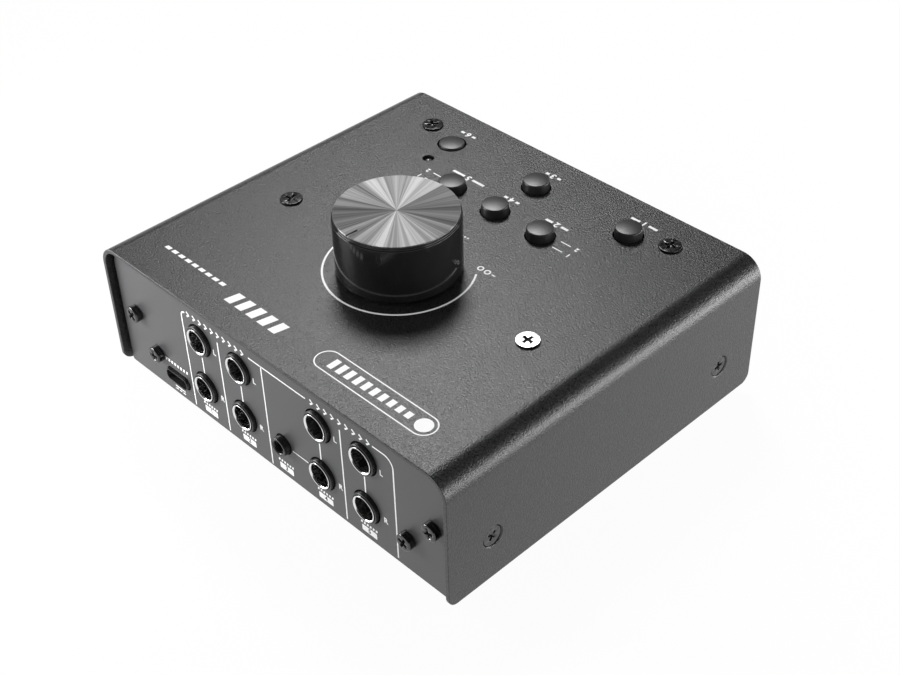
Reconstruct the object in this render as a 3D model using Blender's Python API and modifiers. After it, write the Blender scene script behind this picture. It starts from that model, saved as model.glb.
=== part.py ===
"""A desktop studio monitor controller, modelled as the pieces that it comes apart into.

A folded steel cover stands over a chassis with flanges. The knob and six push buttons are on
top, and the sockets look out of the rear panel. Units are metres, +Z is up, the user sits at -Y
and the sockets face +Y. The origin is at the middle of the footprint, on the table.
"""
import math

import bmesh
import bpy
from mathutils import Matrix, Vector

# Case: cover, chassis, panels and feet
WIDTH = 0.130
DEPTH = 0.113
COVER_HEIGHT = 0.0395
SHEET = 0.0012
COVER_BEND = 0.0062
WALL_CORNER = 0.0028
CHASSIS_BEND = 0.0022
FLANGE_HEIGHT = 0.0245
PANEL_SHEET = 0.0015
PANEL_RECESS = 0.002
PANEL_LOW_CORNER = 0.0008
PANEL_SIDE_GAP = 0.0009
TAB_REACH = 0.0185
TAB_LOW_SHARE = 0.346939
TAB_STEP = 0.001
FOOT_HEIGHT = 0.0025
FOOT_RADIUS = 0.005
FOOT_TAPER = 0.0006
FOOT_ROUND = 0.0005
FOOT_INSET = 0.012

# Clearances: beside a neighbour, under a seated face, and how far a cutter runs past its cut
GAP = 0.0003
SEAT = 0.0002
OVERRUN = 0.002

# Screws
SHANK = 0.0015
PAN_HEAD = 0.0024
PAN_HEIGHT = 0.0018
PAN_EDGE = 0.0004
WAFER_HEAD = 0.0031
WAFER_HEIGHT = 0.0004
FLUSH_HEAD = 0.0028
FLUSH_RIM = 0.0002
FLUSH_DEPTH = 0.0015
RECESS_ARM = 0.0016
RECESS_HALF_WIDTH = 0.00035
RECESS_DEPTH = 0.0009
WAFER_RECESS_DEPTH = 0.0003
RECESS_TURN = math.radians(37)
TOP_SCREW_LENGTH = 0.0062
PANEL_SCREW_LENGTH = 0.006
SIDE_SCREW_LENGTH = 0.005
SOCKET_SCREW_LENGTH = 0.0042

# Where the screws are: insets from the case's edges, how far each rear pair stands to one side of
# the middle, heights as shares of the chassis flange, and
# the top screws' places as shares of the width and of the deck, which lies between front panel and jacks
SIDE_SCREW_INSET = 0.0144
SIDE_SCREW_HEIGHT_SHARE = 0.542857
PANEL_SCREW_INSETS = (0.0079, 0.0161)
REAR_SCREW_SHIFTS = (-0.0015, -0.0009)
PANEL_SCREW_HEIGHT_SHARES = (0.828571, 0.436735)
TOP_SCREW_ACROSS_SHARE = 0.338462
TOP_SCREW_DECK_SHARES = (0.104302, 0.801825)

# Main board, hung under the cover
BOARD_SHEET = 0.0016
BOARD_DROP = 0.010
BOARD_EDGE = 0.005
BOARD_FRONT_GAP = 0.003
BOARD_REAR_GAP = 0.0052
BOARD_CORNER = 0.002
SPACER_RADIUS = 0.0031

# Volume control
KNOB_DECK_SHARE = 0.812256
KNOB_RADIUS = 0.0164
KNOB_TOP = 0.01745
KNOB_LIFT = 0.001
KNOB_EDGE = 0.0003
KNOB_WALL = 0.0018
KNOB_WEB = 0.0024
KNOB_BOSS = 0.0052
DISC_INSET = 0.0004
DISC_THICKNESS = 0.0009
POINTER_ANGLE = math.radians(87.5)
POINTER_LENGTH = 0.0036
POINTER_WIDTH = 0.0007
SHAFT_RADIUS = 0.003
SHAFT_FLAT = 0.0012
SHAFT_FOOT = 0.003
BUSH_RADIUS = 0.0045
BUSH_SPARE = 0.0006
POT_RADIUS = 0.0082
POT_HEADROOM = 0.0006
NUT_FLANGE_RADIUS = 0.0072
NUT_FLANGE = 0.0006
NUT_RADIUS = 0.0063
NUT_HEIGHT = 0.0022
BOSS_CLEARANCE = 0.001

# Push buttons: places as shares of the width and of the deck, in a front and a back row
BUTTON_PITCH_SHARE = 0.126154
FRONT_ROW_SHARE = 0.147327
BACK_ROW_SHARE = 0.357236
BUTTON_SHARES = (
    (-2 * BUTTON_PITCH_SHARE, FRONT_ROW_SHARE),
    (-BUTTON_PITCH_SHARE, BACK_ROW_SHARE),
    (0, FRONT_ROW_SHARE),
    (0, BACK_ROW_SHARE),
    (BUTTON_PITCH_SHARE, BACK_ROW_SHARE),
    (2 * BUTTON_PITCH_SHARE, FRONT_ROW_SHARE),
)
LATCHED_BUTTON = 6
LATCH_DROP = 0.0021
BUTTON_TRAVEL = 0.0024
PRESS_ROOM = 0.0006
CAP_RADIUS = 0.0038
CAP_RISE = 0.0028
CAP_DOME = 0.0007
CAP_SHOULDER = 0.0004
CAP_CROWN = 0.0034
CAP_FLANGE = 0.0047
CAP_FLANGE_HEIGHT = 0.0011
PLUNGER_RADIUS = 0.00175
SWITCH_SIDE = 0.0084
SWITCH_FLOOR = 0.0005

# Indicator
LED_ACROSS_SHARE = 0.247692
LED_DECK_SHARE = 0.276402
LED_RADIUS = 0.0015
LED_FLANGE = 0.0019
LED_FLANGE_HEIGHT = 0.001
LED_HEIGHT = 0.0053
LED_SINK = 0.0004
LED_SPACER_RADIUS = 0.0024

# Sockets at the rear: places as shares of the width and of the cover's height
JACK_ACROSS_SHARES = (0.207692, 0.084615, -0.147692, -0.271538)
JACK_HEIGHT_SHARES = (0.673418, 0.275949)
JACK_BORE = 0.0032
JACK_NOSE = 0.0044
JACK_NOSE_PROUD = 0.001
JACK_NOSE_EDGE = 0.0003
JACK_RING = 0.0037
JACK_RING_PROUD = 0.00125
JACK_RING_LENGTH = 0.0075
JACK_RING_EDGE = 0.0002
JACK_HALF_WIDTH = 0.0058
JACK_ROOF = 0.0062
JACK_DEPTH = 0.029
JACK_BACK_WALL = 0.0025
CONTACT_HALF_WIDTH = 0.0007
CONTACT_SHEET = 0.0003
CONTACT_LENGTH = 0.015
CONTACT_RISE = 0.0011
CONTACT_FRONT = 0.0105
CONTACT_SINK = 0.0009
AUX_ACROSS_SHARE = -0.033846
AUX_HEIGHT_SHARE = 0.281013
AUX_NOSE = 0.0027
AUX_NOSE_PROUD = 0.0019
AUX_BORE = 0.0018
AUX_HALF_WIDTH = 0.0034
AUX_ROOF = 0.0034
AUX_DEPTH = 0.0125
AUX_BORE_DEPTH = 0.0115
USB_ACROSS_SHARE = 0.31
USB_HEIGHT = 0.0061
USB_HALF_WIDTH = 0.0047
USB_HALF_HEIGHT = 0.00185
USB_WALL = 0.00035
USB_PROUD = 0.0008
USB_LENGTH = 0.009
USB_CORNER = 0.0016
USB_SLOT_MARGIN = 0.0003
TONGUE_HALF_WIDTH = 0.0033
TONGUE_HALF_HEIGHT = 0.00035
TONGUE_BACKSET = 0.0012

# Socket board on the chassis, and the cable up to the main board
SOCKET_BOARD_APRON = 0.0122
SOCKET_BOARD_INSET = 0.0165
STANDOFF_RADIUS = 0.003
STANDOFF_SIDE_INSET = 0.0038
STANDOFF_FRONT_INSET = 0.006
PLUG_HALF_WIDTH = 0.011
PLUG_HALF_DEPTH = 0.0026
PLUG_HEIGHT = 0.0068
UPPER_PLUG_DECK_SHARE = 0.638853
LOWER_PLUG_INSET = 0.004
CABLE_HALF_WIDTH = 0.0098
CABLE_THICKNESS = 0.0009

# How finely round shapes are cut
FINE_SIDES = 40
ROUND_SIDES = 16
SCREW_SIDES = 12
PLUNGER_SIDES = 8
HEXAGON = 6
ARC_STEPS = 5
SHARP_ANGLE = math.radians(40)
MERGE = 0.00001

UP = Vector((0, 0, 1))
REARWARD = Vector((0, 1, 0))

# Levels that follow from the sizes above
case_low = FOOT_HEIGHT
top_face = case_low + COVER_HEIGHT
ceiling = top_face - SHEET
panel_face = DEPTH / 2 - PANEL_RECESS
panel_back = panel_face - PANEL_SHEET
flange_face = WIDTH / 2 - SHEET - GAP
board_top = ceiling - BOARD_DROP
board_low = board_top - BOARD_SHEET
socket_board_top = case_low + USB_HEIGHT - USB_HALF_HEIGHT - SEAT
socket_board_low = socket_board_top - BOARD_SHEET
block_front = panel_back - GAP
jack_front = block_front - JACK_DEPTH
deck_depth = jack_front + panel_back
knob_y = KNOB_DECK_SHARE * deck_depth - panel_back
side_screw_level = case_low + SIDE_SCREW_HEIGHT_SHARE * FLANGE_HEIGHT
jack_levels = [case_low + share * COVER_HEIGHT for share in JACK_HEIGHT_SHARES]
socket_board_half_width = WIDTH / 2 - SOCKET_BOARD_INSET
socket_board_front = jack_front - SOCKET_BOARD_APRON
screw_hole = SHANK + GAP

# Grey, roughness and metallic value of each material
LOOKS = {
    "painted steel": (0.055, 0.45, 0.0),
    "plated steel": (0.45, 0.35, 1.0),
    "black screw": (0.02, 0.35, 1.0),
    "circuit board": (0.03, 0.5, 0.0),
    "black plastic": (0.012, 0.4, 0.0),
    "gloss black": (0.008, 0.15, 0.0),
    "rubber": (0.02, 0.8, 0.0),
    "spun aluminium": (0.3, 0.3, 1.0),
    "bright metal": (0.7, 0.2, 1.0),
    "clear resin": (0.6, 0.1, 0.0),
    "grey cable": (0.3, 0.6, 0.0),
}


def new_collection(name):
    made = bpy.data.collections.new(name)
    bpy.context.scene.collection.children.link(made)
    return made


def keep(piece, name, look):
    """Name a finished piece, give it its own material and file it with the object."""
    piece.name = name
    piece.data.name = name
    grey, roughness, metallic = LOOKS[look]
    paint = bpy.data.materials.new(name + " " + look)
    paint.use_nodes = True
    shader = paint.node_tree.nodes["Principled BSDF"]
    shader.inputs["Base Color"].default_value = (grey, grey, grey, 1)
    shader.inputs["Roughness"].default_value = roughness
    shader.inputs["Metallic"].default_value = metallic
    piece.data.materials.clear()
    piece.data.materials.append(paint)
    parts.objects.link(piece)
    bench.objects.unlink(piece)
    return piece


def on_bench(name, mesh):
    """A new object in the scene, not yet filed with the parts or the cutters."""
    piece = bpy.data.objects.new(name, mesh)
    bench.objects.link(piece)
    return piece


def place_along(piece, middle, axis):
    piece.location = middle
    piece.rotation_mode = "QUATERNION"
    piece.rotation_quaternion = Vector(axis).to_track_quat("Z", "Y")


def block(low, high):
    """A box between two opposite corners."""
    low = Vector(low)
    high = Vector(high)
    shape = bmesh.new()
    bmesh.ops.create_cube(shape, size=1.0)
    bmesh.ops.scale(shape, vec=high - low, verts=shape.verts)
    mesh = bpy.data.meshes.new("block")
    shape.to_mesh(mesh)
    shape.free()
    piece = on_bench("block", mesh)
    piece.location = (low + high) / 2
    return piece


def rod(radius, start, end, sides=ROUND_SIDES):
    """A round or, with few sides, many-cornered bar between two points."""
    start = Vector(start)
    end = Vector(end)
    shape = bmesh.new()
    bmesh.ops.create_cone(
        shape, cap_ends=True, segments=sides, radius1=radius, radius2=radius, depth=(end - start).length
    )
    mesh = bpy.data.meshes.new("rod")
    shape.to_mesh(mesh)
    shape.free()
    mesh.shade_smooth()
    mesh.set_sharp_from_angle(angle=SHARP_ANGLE)
    piece = on_bench("rod", mesh)
    place_along(piece, (start + end) / 2, end - start)
    return piece


def turned(profile, foot, axis=UP, sides=ROUND_SIDES, ring=False):
    """A profile of radius and height turned about an axis, outer side first and downwards."""
    points = [(radius, 0, height) for radius, height in profile]
    edges = [(index, index + 1) for index in range(len(points) - 1)]
    if ring:
        edges.append((len(points) - 1, 0))
    mesh = bpy.data.meshes.new("turned")
    mesh.from_pydata(points, edges, [])
    piece = on_bench("turned", mesh)
    place_along(piece, foot, axis)
    turn = piece.modifiers.new("turn", "SCREW")
    turn.axis = "Z"
    turn.angle = math.tau
    turn.steps = sides
    turn.render_steps = sides
    turn.use_merge_vertices = True
    turn.merge_threshold = MERGE
    turn.use_smooth_shade = True
    return piece


def flat(outline, thickness, middle, across=(1, 0, 0), upward=(0, 1, 0)):
    """A flat outline given thickness. Its own X and Y lie along across and upward."""
    curve = bpy.data.curves.new("flat", "CURVE")
    curve.dimensions = "2D"
    curve.fill_mode = "BOTH"
    curve.extrude = thickness / 2
    line = curve.splines.new("POLY")
    line.points.add(len(outline) - 1)
    line.use_cyclic_u = True
    for point, (along, over) in zip(line.points, outline):
        point.co = (along, over, 0, 1)
    across = Vector(across)
    upward = Vector(upward)
    turn = Matrix((across, upward, across.cross(upward))).transposed()
    drawn = on_bench("flat", curve)
    drawn.matrix_world = Matrix.Translation(middle) @ turn.to_4x4()
    return meshed(drawn)


def evaluated_mesh(piece):
    bpy.context.view_layer.update()
    graph = bpy.context.evaluated_depsgraph_get()
    return bpy.data.meshes.new_from_object(piece.evaluated_get(graph), depsgraph=graph)


def meshed(drawn):
    """A curve made a closed mesh that takes cuts."""
    mesh = evaluated_mesh(drawn)
    shape = bmesh.new()
    shape.from_mesh(mesh)
    bmesh.ops.remove_doubles(shape, verts=shape.verts, dist=MERGE)
    bmesh.ops.recalc_face_normals(shape, faces=shape.faces)
    shape.to_mesh(mesh)
    shape.free()
    mesh.shade_smooth()
    mesh.set_sharp_from_angle(angle=SHARP_ANGLE)
    piece = on_bench("meshed", mesh)
    piece.matrix_world = drawn.matrix_world.copy()
    bpy.data.objects.remove(drawn)
    return piece


def grouped(pieces):
    """Separate solids kept together in one object."""
    shape = bmesh.new()
    for piece in pieces:
        mesh = evaluated_mesh(piece)
        mesh.transform(piece.matrix_world)
        shape.from_mesh(mesh)
        bpy.data.meshes.remove(mesh)
        bpy.data.objects.remove(piece)
    mesh = bpy.data.meshes.new("group")
    shape.to_mesh(mesh)
    shape.free()
    mesh.set_sharp_from_angle(angle=SHARP_ANGLE)
    return on_bench("group", mesh)


def shaped(piece, other, operation):
    """Cut, join or meet a piece with another, which then counts as a cutter."""
    change = piece.modifiers.new(operation.lower(), "BOOLEAN")
    change.operation = operation
    change.solver = "EXACT"
    change.object = other
    other.name = "cutter"
    other.hide_render = True
    other.display_type = "WIRE"
    cutters.objects.link(other)
    bench.objects.unlink(other)
    return piece


def cut(piece, *others):
    for other in others:
        shaped(piece, other, "DIFFERENCE")
    return piece


def joined(piece, *others):
    for other in others:
        shaped(piece, other, "UNION")
    return piece


def arc(centre, radius, start, sweep, steps=ARC_STEPS):
    """Points along a round corner, its angles in quarter turns."""
    angles = [(start + sweep * step / steps) * math.pi / 2 for step in range(steps + 1)]
    return [(centre[0] + radius * math.cos(angle), centre[1] + radius * math.sin(angle)) for angle in angles]


def rounded(low, high, low_corner, high_corner):
    """A rectangle whose lower and upper corners are rounded."""
    left, bottom = low
    right, top = high
    return (
        arc((right - high_corner, top - high_corner), high_corner, 0, 1)
        + arc((left + high_corner, top - high_corner), high_corner, 1, 1)
        + arc((left + low_corner, bottom + low_corner), low_corner, 2, 1)
        + arc((right - low_corner, bottom + low_corner), low_corner, 3, 1)
    )


def slot_outline(margin):
    """The flat power socket's round-ended outline, wider all round by the margin."""
    half_width = USB_HALF_WIDTH + margin
    half_height = USB_HALF_HEIGHT + margin
    corner = USB_CORNER + margin
    return rounded((-half_width, -half_height), (half_width, half_height), corner, corner)


def channel(half_width, shut, free, bend):
    """The section of a sheet folded at both sides, from its shut web to its free edges."""
    way = math.copysign(1, shut - free)
    right = (half_width - bend, 0)
    left = (bend - half_width, 0)
    outer = arc(right, bend, 0, 1) + arc(left, bend, 1, 1)
    inner = arc(left, bend - SHEET, 2, -1) + arc(right, bend - SHEET, 1, -1)
    folded = [(along, shut + way * (height - bend)) for along, height in outer + inner]
    turn = len(outer)
    ends_left = [(-half_width, free), (SHEET - half_width, free)]
    ends_right = [(half_width - SHEET, free), (half_width, free)]
    return folded[:turn] + ends_left + folded[turn:] + ends_right


def cross_recess(head_centre, axis, depth):
    """The cutter of a cross recess in a screw head."""
    arm = RECESS_ARM
    half = RECESS_HALF_WIDTH
    half_outline = [(arm, -half), (arm, half), (half, half), (half, arm), (-half, arm), (-half, half)]
    outline = half_outline + [(-along, -over) for along, over in half_outline]
    axis = Vector(axis)
    side = axis.orthogonal().normalized()
    slant = math.cos(RECESS_TURN) * side + math.sin(RECESS_TURN) * axis.cross(side)
    middle = Vector(head_centre) - axis * (depth - OVERRUN) / 2
    return flat(outline, depth + OVERRUN, middle, across=slant, upward=axis.cross(slant))


def pan_screw(seat, axis, length):
    """A pan head screw: its head stands on the seat and its shank runs the other way."""
    profile = (
        (0, PAN_HEIGHT),
        (PAN_HEAD - PAN_EDGE, PAN_HEIGHT),
        (PAN_HEAD, PAN_HEIGHT - PAN_EDGE),
        (PAN_HEAD, 0),
        (SHANK, 0),
        (SHANK, -length),
        (0, -length),
    )
    screw = turned(profile, seat, axis, SCREW_SIDES)
    return cut(screw, cross_recess(Vector(seat) + Vector(axis) * PAN_HEIGHT, axis, RECESS_DEPTH))


def wafer_screw(seat, length):
    """A low head screw set down through the cover."""
    profile = (
        (0, WAFER_HEIGHT),
        (WAFER_HEAD - WAFER_HEIGHT / 2, WAFER_HEIGHT),
        (WAFER_HEAD, WAFER_HEIGHT / 2),
        (WAFER_HEAD, 0),
        (SHANK, 0),
        (SHANK, -length),
        (0, -length),
    )
    screw = turned(profile, seat, UP, SCREW_SIDES)
    return cut(screw, cross_recess(Vector(seat) + UP * WAFER_HEIGHT, UP, WAFER_RECESS_DEPTH))


def flush_screw(face, axis, length):
    """A countersunk screw whose head lies flush with the face."""
    profile = (
        (0, 0),
        (FLUSH_HEAD, 0),
        (FLUSH_HEAD, -FLUSH_RIM),
        (SHANK, -FLUSH_DEPTH),
        (SHANK, -length),
        (0, -length),
    )
    screw = turned(profile, face, axis, SCREW_SIDES)
    return cut(screw, cross_recess(face, axis, RECESS_DEPTH))


def corners(half_x, half_y):
    """The four places at plus and minus two distances."""
    return [(x, y) for x in (-half_x, half_x) for y in (-half_y, half_y)]


def on_deck(across_share, deck_share):
    """A place on top: across from the middle, and rearward from the front panel towards the jacks."""
    return (across_share * WIDTH, deck_share * deck_depth - panel_back)


def top_screw_places():
    return [
        on_deck(side * TOP_SCREW_ACROSS_SHARE, deck_share)
        for side in (-1, 1)
        for deck_share in TOP_SCREW_DECK_SHARES
    ]


def side_screw_places():
    return corners(1, DEPTH / 2 - SIDE_SCREW_INSET)


def standoff_places():
    x = socket_board_half_width - STANDOFF_SIDE_INSET
    y = socket_board_front + STANDOFF_FRONT_INSET
    return [(-x, y), (x, y)]


def panel_screw_places(end):
    """Across and height of the screws of one panel: two pairs at the rear, the outer pair in front."""
    places = list(zip(PANEL_SCREW_INSETS, REAR_SCREW_SHIFTS, PANEL_SCREW_HEIGHT_SHARES))
    if end < 0:
        places = [(PANEL_SCREW_INSETS[0], 0, PANEL_SCREW_HEIGHT_SHARES[0])]
    return [
        (side * (WIDTH / 2 - inset) + shift, case_low + share * FLANGE_HEIGHT)
        for inset, shift, share in places
        for side in (-1, 1)
    ]


def jack_places():
    return [(share * WIDTH, z) for share in JACK_ACROSS_SHARES for z in jack_levels]


def button_places():
    return [on_deck(across, deck) for across, deck in BUTTON_SHARES]


def indicator_place():
    return on_deck(LED_ACROSS_SHARE, LED_DECK_SHARE)


def countersink(x, y, z):
    """The cutter of a countersunk hole in a side wall, wider than the screw by the gap."""
    side = math.copysign(1, x)
    profile = (
        (0, OVERRUN),
        (FLUSH_HEAD + GAP, OVERRUN),
        (FLUSH_HEAD + GAP, -FLUSH_RIM),
        (screw_hole, -FLUSH_DEPTH),
        (screw_hole, -FLUSH_DEPTH - OVERRUN),
        (0, -FLUSH_DEPTH - OVERRUN),
    )
    return turned(profile, (x, y, z), (side, 0, 0), SCREW_SIDES)


def make_cover():
    """Top and side walls folded from one sheet, the walls' lower corners rounded."""
    section = channel(WIDTH / 2, top_face, case_low - OVERRUN, COVER_BEND)
    cover = flat(section, DEPTH + OVERRUN, (0, 0, 0), upward=UP)
    side_view = rounded((-DEPTH / 2, case_low), (DEPTH / 2, top_face + OVERRUN), WALL_CORNER, OVERRUN / 2)
    shaped(cover, flat(side_view, WIDTH + OVERRUN, (0, 0, 0), across=REARWARD, upward=UP), "INTERSECT")
    holes = [(CAP_RADIUS + GAP, place) for place in button_places()]
    holes += [(screw_hole, place) for place in top_screw_places()]
    holes += [(LED_RADIUS + GAP, indicator_place()), (BUSH_RADIUS + GAP, (0, knob_y))]
    drills = [rod(radius, (x, y, ceiling - OVERRUN), (x, y, top_face + OVERRUN)) for radius, (x, y) in holes]
    sinks = [countersink(side * WIDTH / 2, y, side_screw_level) for side, y in side_screw_places()]
    cut(cover, grouped(drills), grouped(sinks))
    keep(cover, "cover", "painted steel")


def make_chassis():
    """Floor plate with side flanges, bent tabs behind the panels and standoffs for the socket board."""
    length = 2 * (panel_back - GAP - TAB_STEP)
    section = channel(flange_face, case_low, case_low + FLANGE_HEIGHT, CHASSIS_BEND)
    chassis = flat(section, length, (0, 0, 0), upward=UP)
    tab_face = panel_back - GAP
    tab_high = case_low + FLANGE_HEIGHT - TAB_STEP
    for side, end in corners(1, 1):
        x_ends = sorted((side * (WIDTH / 2 - TAB_REACH), side * (flange_face - SHEET / 2)))
        y_ends = sorted((end * tab_face, end * (tab_face - SHEET)))
        low = (x_ends[0], y_ends[0], case_low + TAB_LOW_SHARE * FLANGE_HEIGHT)
        high = (x_ends[1], y_ends[1], tab_high)
        joined(chassis, block(low, high))
    post_low = case_low + SHEET / 2
    post_high = socket_board_low - SEAT
    posts = [rod(STANDOFF_RADIUS, (x, y, post_low), (x, y, post_high)) for x, y in standoff_places()]
    joined(chassis, grouped(posts))
    reach = flange_face - SHEET - OVERRUN
    level = side_screw_level
    wall_holes = [
        rod(screw_hole, (side * reach, y, level), (side * WIDTH / 2, y, level))
        for side, y in side_screw_places()
    ]
    tab_holes = [
        rod(screw_hole, (x, end * (tab_face - SHEET - OVERRUN), z), (x, end * (tab_face + OVERRUN), z))
        for end in (-1, 1)
        for x, z in panel_screw_places(end)
    ]
    post_holes = [
        rod(screw_hole, (x, y, case_low - OVERRUN), (x, y, post_high + OVERRUN)) for x, y in standoff_places()
    ]
    cut(chassis, grouped(wall_holes + tab_holes + post_holes))
    keep(chassis, "chassis", "plated steel")


def panel_plate(end):
    """An end panel with its screw holes, end +1 for the rear and -1 for the front."""
    half_width = WIDTH / 2 - SHEET - PANEL_SIDE_GAP
    bend = COVER_BEND - SHEET
    outline = rounded((-half_width, case_low), (half_width, ceiling - GAP), PANEL_LOW_CORNER, bend)
    plate = flat(outline, PANEL_SHEET, (0, end * (panel_face + panel_back) / 2, 0), upward=UP)
    holes = [
        rod(screw_hole, (x, end * (panel_back - OVERRUN), z), (x, end * (panel_face + OVERRUN), z))
        for x, z in panel_screw_places(end)
    ]
    return cut(plate, grouped(holes))


def make_panels():
    """The rear panel has the socket holes, and the front panel is plain."""
    rear = panel_plate(1)
    holes = [(JACK_NOSE + GAP, place) for place in jack_places()]
    aux_place = (AUX_ACROSS_SHARE * WIDTH, case_low + AUX_HEIGHT_SHARE * COVER_HEIGHT)
    holes.append((AUX_NOSE + GAP, aux_place))
    near = panel_back - OVERRUN
    far = panel_face + OVERRUN
    drills = [rod(radius, (x, near, z), (x, far, z)) for radius, (x, z) in holes]
    middle = (USB_ACROSS_SHARE * WIDTH, panel_face, case_low + USB_HEIGHT)
    cut(rear, grouped(drills), flat(slot_outline(USB_SLOT_MARGIN), 2 * OVERRUN, middle, upward=UP))
    keep(rear, "rear_panel", "painted steel")
    keep(panel_plate(-1), "front_panel", "painted steel")


def make_feet():
    for number, (x, y) in enumerate(corners(WIDTH / 2 - FOOT_INSET, DEPTH / 2 - FOOT_INSET), 1):
        profile = (
            (0, FOOT_HEIGHT - SEAT),
            (FOOT_RADIUS, FOOT_HEIGHT - SEAT),
            (FOOT_RADIUS - FOOT_TAPER, FOOT_ROUND),
            (FOOT_RADIUS - FOOT_TAPER - FOOT_ROUND, 0),
            (0, 0),
        )
        keep(turned(profile, (x, y, 0)), f"foot_{number}", "rubber")


def make_screws():
    """The fasteners that show, and those of the socket board."""
    for number, (side, y) in enumerate(side_screw_places(), 1):
        screw = flush_screw((side * WIDTH / 2, y, side_screw_level), (side, 0, 0), SIDE_SCREW_LENGTH)
        keep(screw, f"side_screw_{number}", "black screw")
    for number, (x, y) in enumerate(top_screw_places(), 1):
        keep(wafer_screw((x, y, top_face + SEAT), TOP_SCREW_LENGTH), f"top_screw_{number}", "black screw")
    seat = panel_face + SEAT
    for end, side_name in ((1, "rear"), (-1, "front")):
        for number, (x, z) in enumerate(panel_screw_places(end), 1):
            screw = pan_screw((x, end * seat, z), (0, end, 0), PANEL_SCREW_LENGTH)
            keep(screw, f"{side_name}_screw_{number}", "black screw")
    for number, (x, y) in enumerate(standoff_places(), 1):
        screw = pan_screw((x, y, socket_board_top + SEAT), UP, SOCKET_SCREW_LENGTH)
        keep(screw, f"socket_board_screw_{number}", "plated steel")


def make_main_board():
    """The board under the cover, with the threaded spacers on it that hang it there."""
    side = TOP_SCREW_ACROSS_SHARE * WIDTH + BOARD_EDGE
    low = (-side, BOARD_FRONT_GAP - panel_back)
    high = (side, jack_front - BOARD_REAR_GAP)
    middle = (0, 0, (board_top + board_low) / 2)
    board = flat(rounded(low, high, BOARD_CORNER, BOARD_CORNER), BOARD_SHEET, middle)
    places = top_screw_places()
    foot = board_top - BOARD_SHEET / 2
    spacers = [rod(SPACER_RADIUS, (x, y, foot), (x, y, ceiling - SEAT), HEXAGON) for x, y in places]
    joined(board, grouped(spacers))
    cut(board, grouped([rod(screw_hole, (x, y, board_low - OVERRUN), (x, y, top_face)) for x, y in places]))
    keep(board, "main_board", "circuit board")


def make_volume_control():
    """Rotary control on the board, its bush clamped in the cover, and the knob on its shaft."""
    foot = board_top + SEAT
    nut_low = top_face + SEAT
    nut_high = nut_low + NUT_HEIGHT
    bush_top = nut_high + BUSH_SPARE
    shaft_low = foot + SHAFT_FOOT
    profile = (
        (0, bush_top),
        (BUSH_RADIUS, bush_top),
        (BUSH_RADIUS, ceiling - POT_HEADROOM),
        (POT_RADIUS, ceiling - POT_HEADROOM),
        (POT_RADIUS, foot),
        (0, foot),
    )
    body = turned(profile, (0, knob_y, 0))
    bore = SHAFT_RADIUS + GAP
    cut(body, rod(bore, (0, knob_y, shaft_low - SEAT), (0, knob_y, bush_top + OVERRUN)))
    keep(body, "volume_pot", "black plastic")
    nut = rod(NUT_RADIUS, (0, knob_y, nut_low + NUT_FLANGE / 2), (0, knob_y, nut_high), HEXAGON)
    joined(nut, rod(NUT_FLANGE_RADIUS, (0, knob_y, nut_low), (0, knob_y, nut_low + NUT_FLANGE)))
    cut(nut, rod(BUSH_RADIUS + GAP, (0, knob_y, nut_low - OVERRUN), (0, knob_y, nut_high + OVERRUN)))
    keep(nut, "pot_nut", "plated steel")
    make_knob(shaft_low, bush_top)


def make_knob(shaft_low, bush_top):
    """The shaft, the hollow knob pushed onto it and the spun disc laid on the knob's top."""
    disc_low = top_face + KNOB_TOP - DISC_THICKNESS
    rim = disc_low - SEAT
    web = rim - KNOB_WEB
    skirt = top_face + KNOB_LIFT
    boss_low = bush_top + BOSS_CLEARANCE
    bore = SHAFT_RADIUS + GAP
    inner = KNOB_RADIUS - KNOB_WALL
    profile = (
        (0, rim),
        (KNOB_RADIUS - KNOB_EDGE, rim),
        (KNOB_RADIUS, rim - KNOB_EDGE),
        (KNOB_RADIUS, skirt),
        (inner, skirt),
        (inner, web),
        (KNOB_BOSS, web),
        (KNOB_BOSS, boss_low),
        (bore, boss_low),
        (bore, web),
        (0, web),
    )
    place = (0, knob_y, 0)
    keep(turned(profile, place, sides=FINE_SIDES), "knob_body", "gloss black")
    shaft_top = web - GAP
    shaft = rod(SHAFT_RADIUS, (0, knob_y, shaft_low), (0, knob_y, shaft_top))
    flat_low = (-SHAFT_RADIUS - OVERRUN, knob_y + SHAFT_RADIUS - SHAFT_FLAT, boss_low)
    flat_high = (SHAFT_RADIUS + OVERRUN, knob_y + SHAFT_RADIUS + OVERRUN, shaft_top + OVERRUN)
    keep(cut(shaft, block(flat_low, flat_high)), "pot_shaft", "plated steel")
    disc_radius = KNOB_RADIUS - DISC_INSET
    disc = rod(disc_radius, (0, knob_y, disc_low), (0, knob_y, disc_low + DISC_THICKNESS), FINE_SIDES)
    low = (disc_radius - POINTER_LENGTH, -POINTER_WIDTH / 2, disc_low - OVERRUN)
    high = (disc_radius + OVERRUN, POINTER_WIDTH / 2, disc_low + OVERRUN)
    notch = grouped([block(low, high)])
    notch.location = place
    notch.rotation_euler.z = POINTER_ANGLE
    keep(cut(disc, notch), "knob_disc", "spun aluminium")


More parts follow.
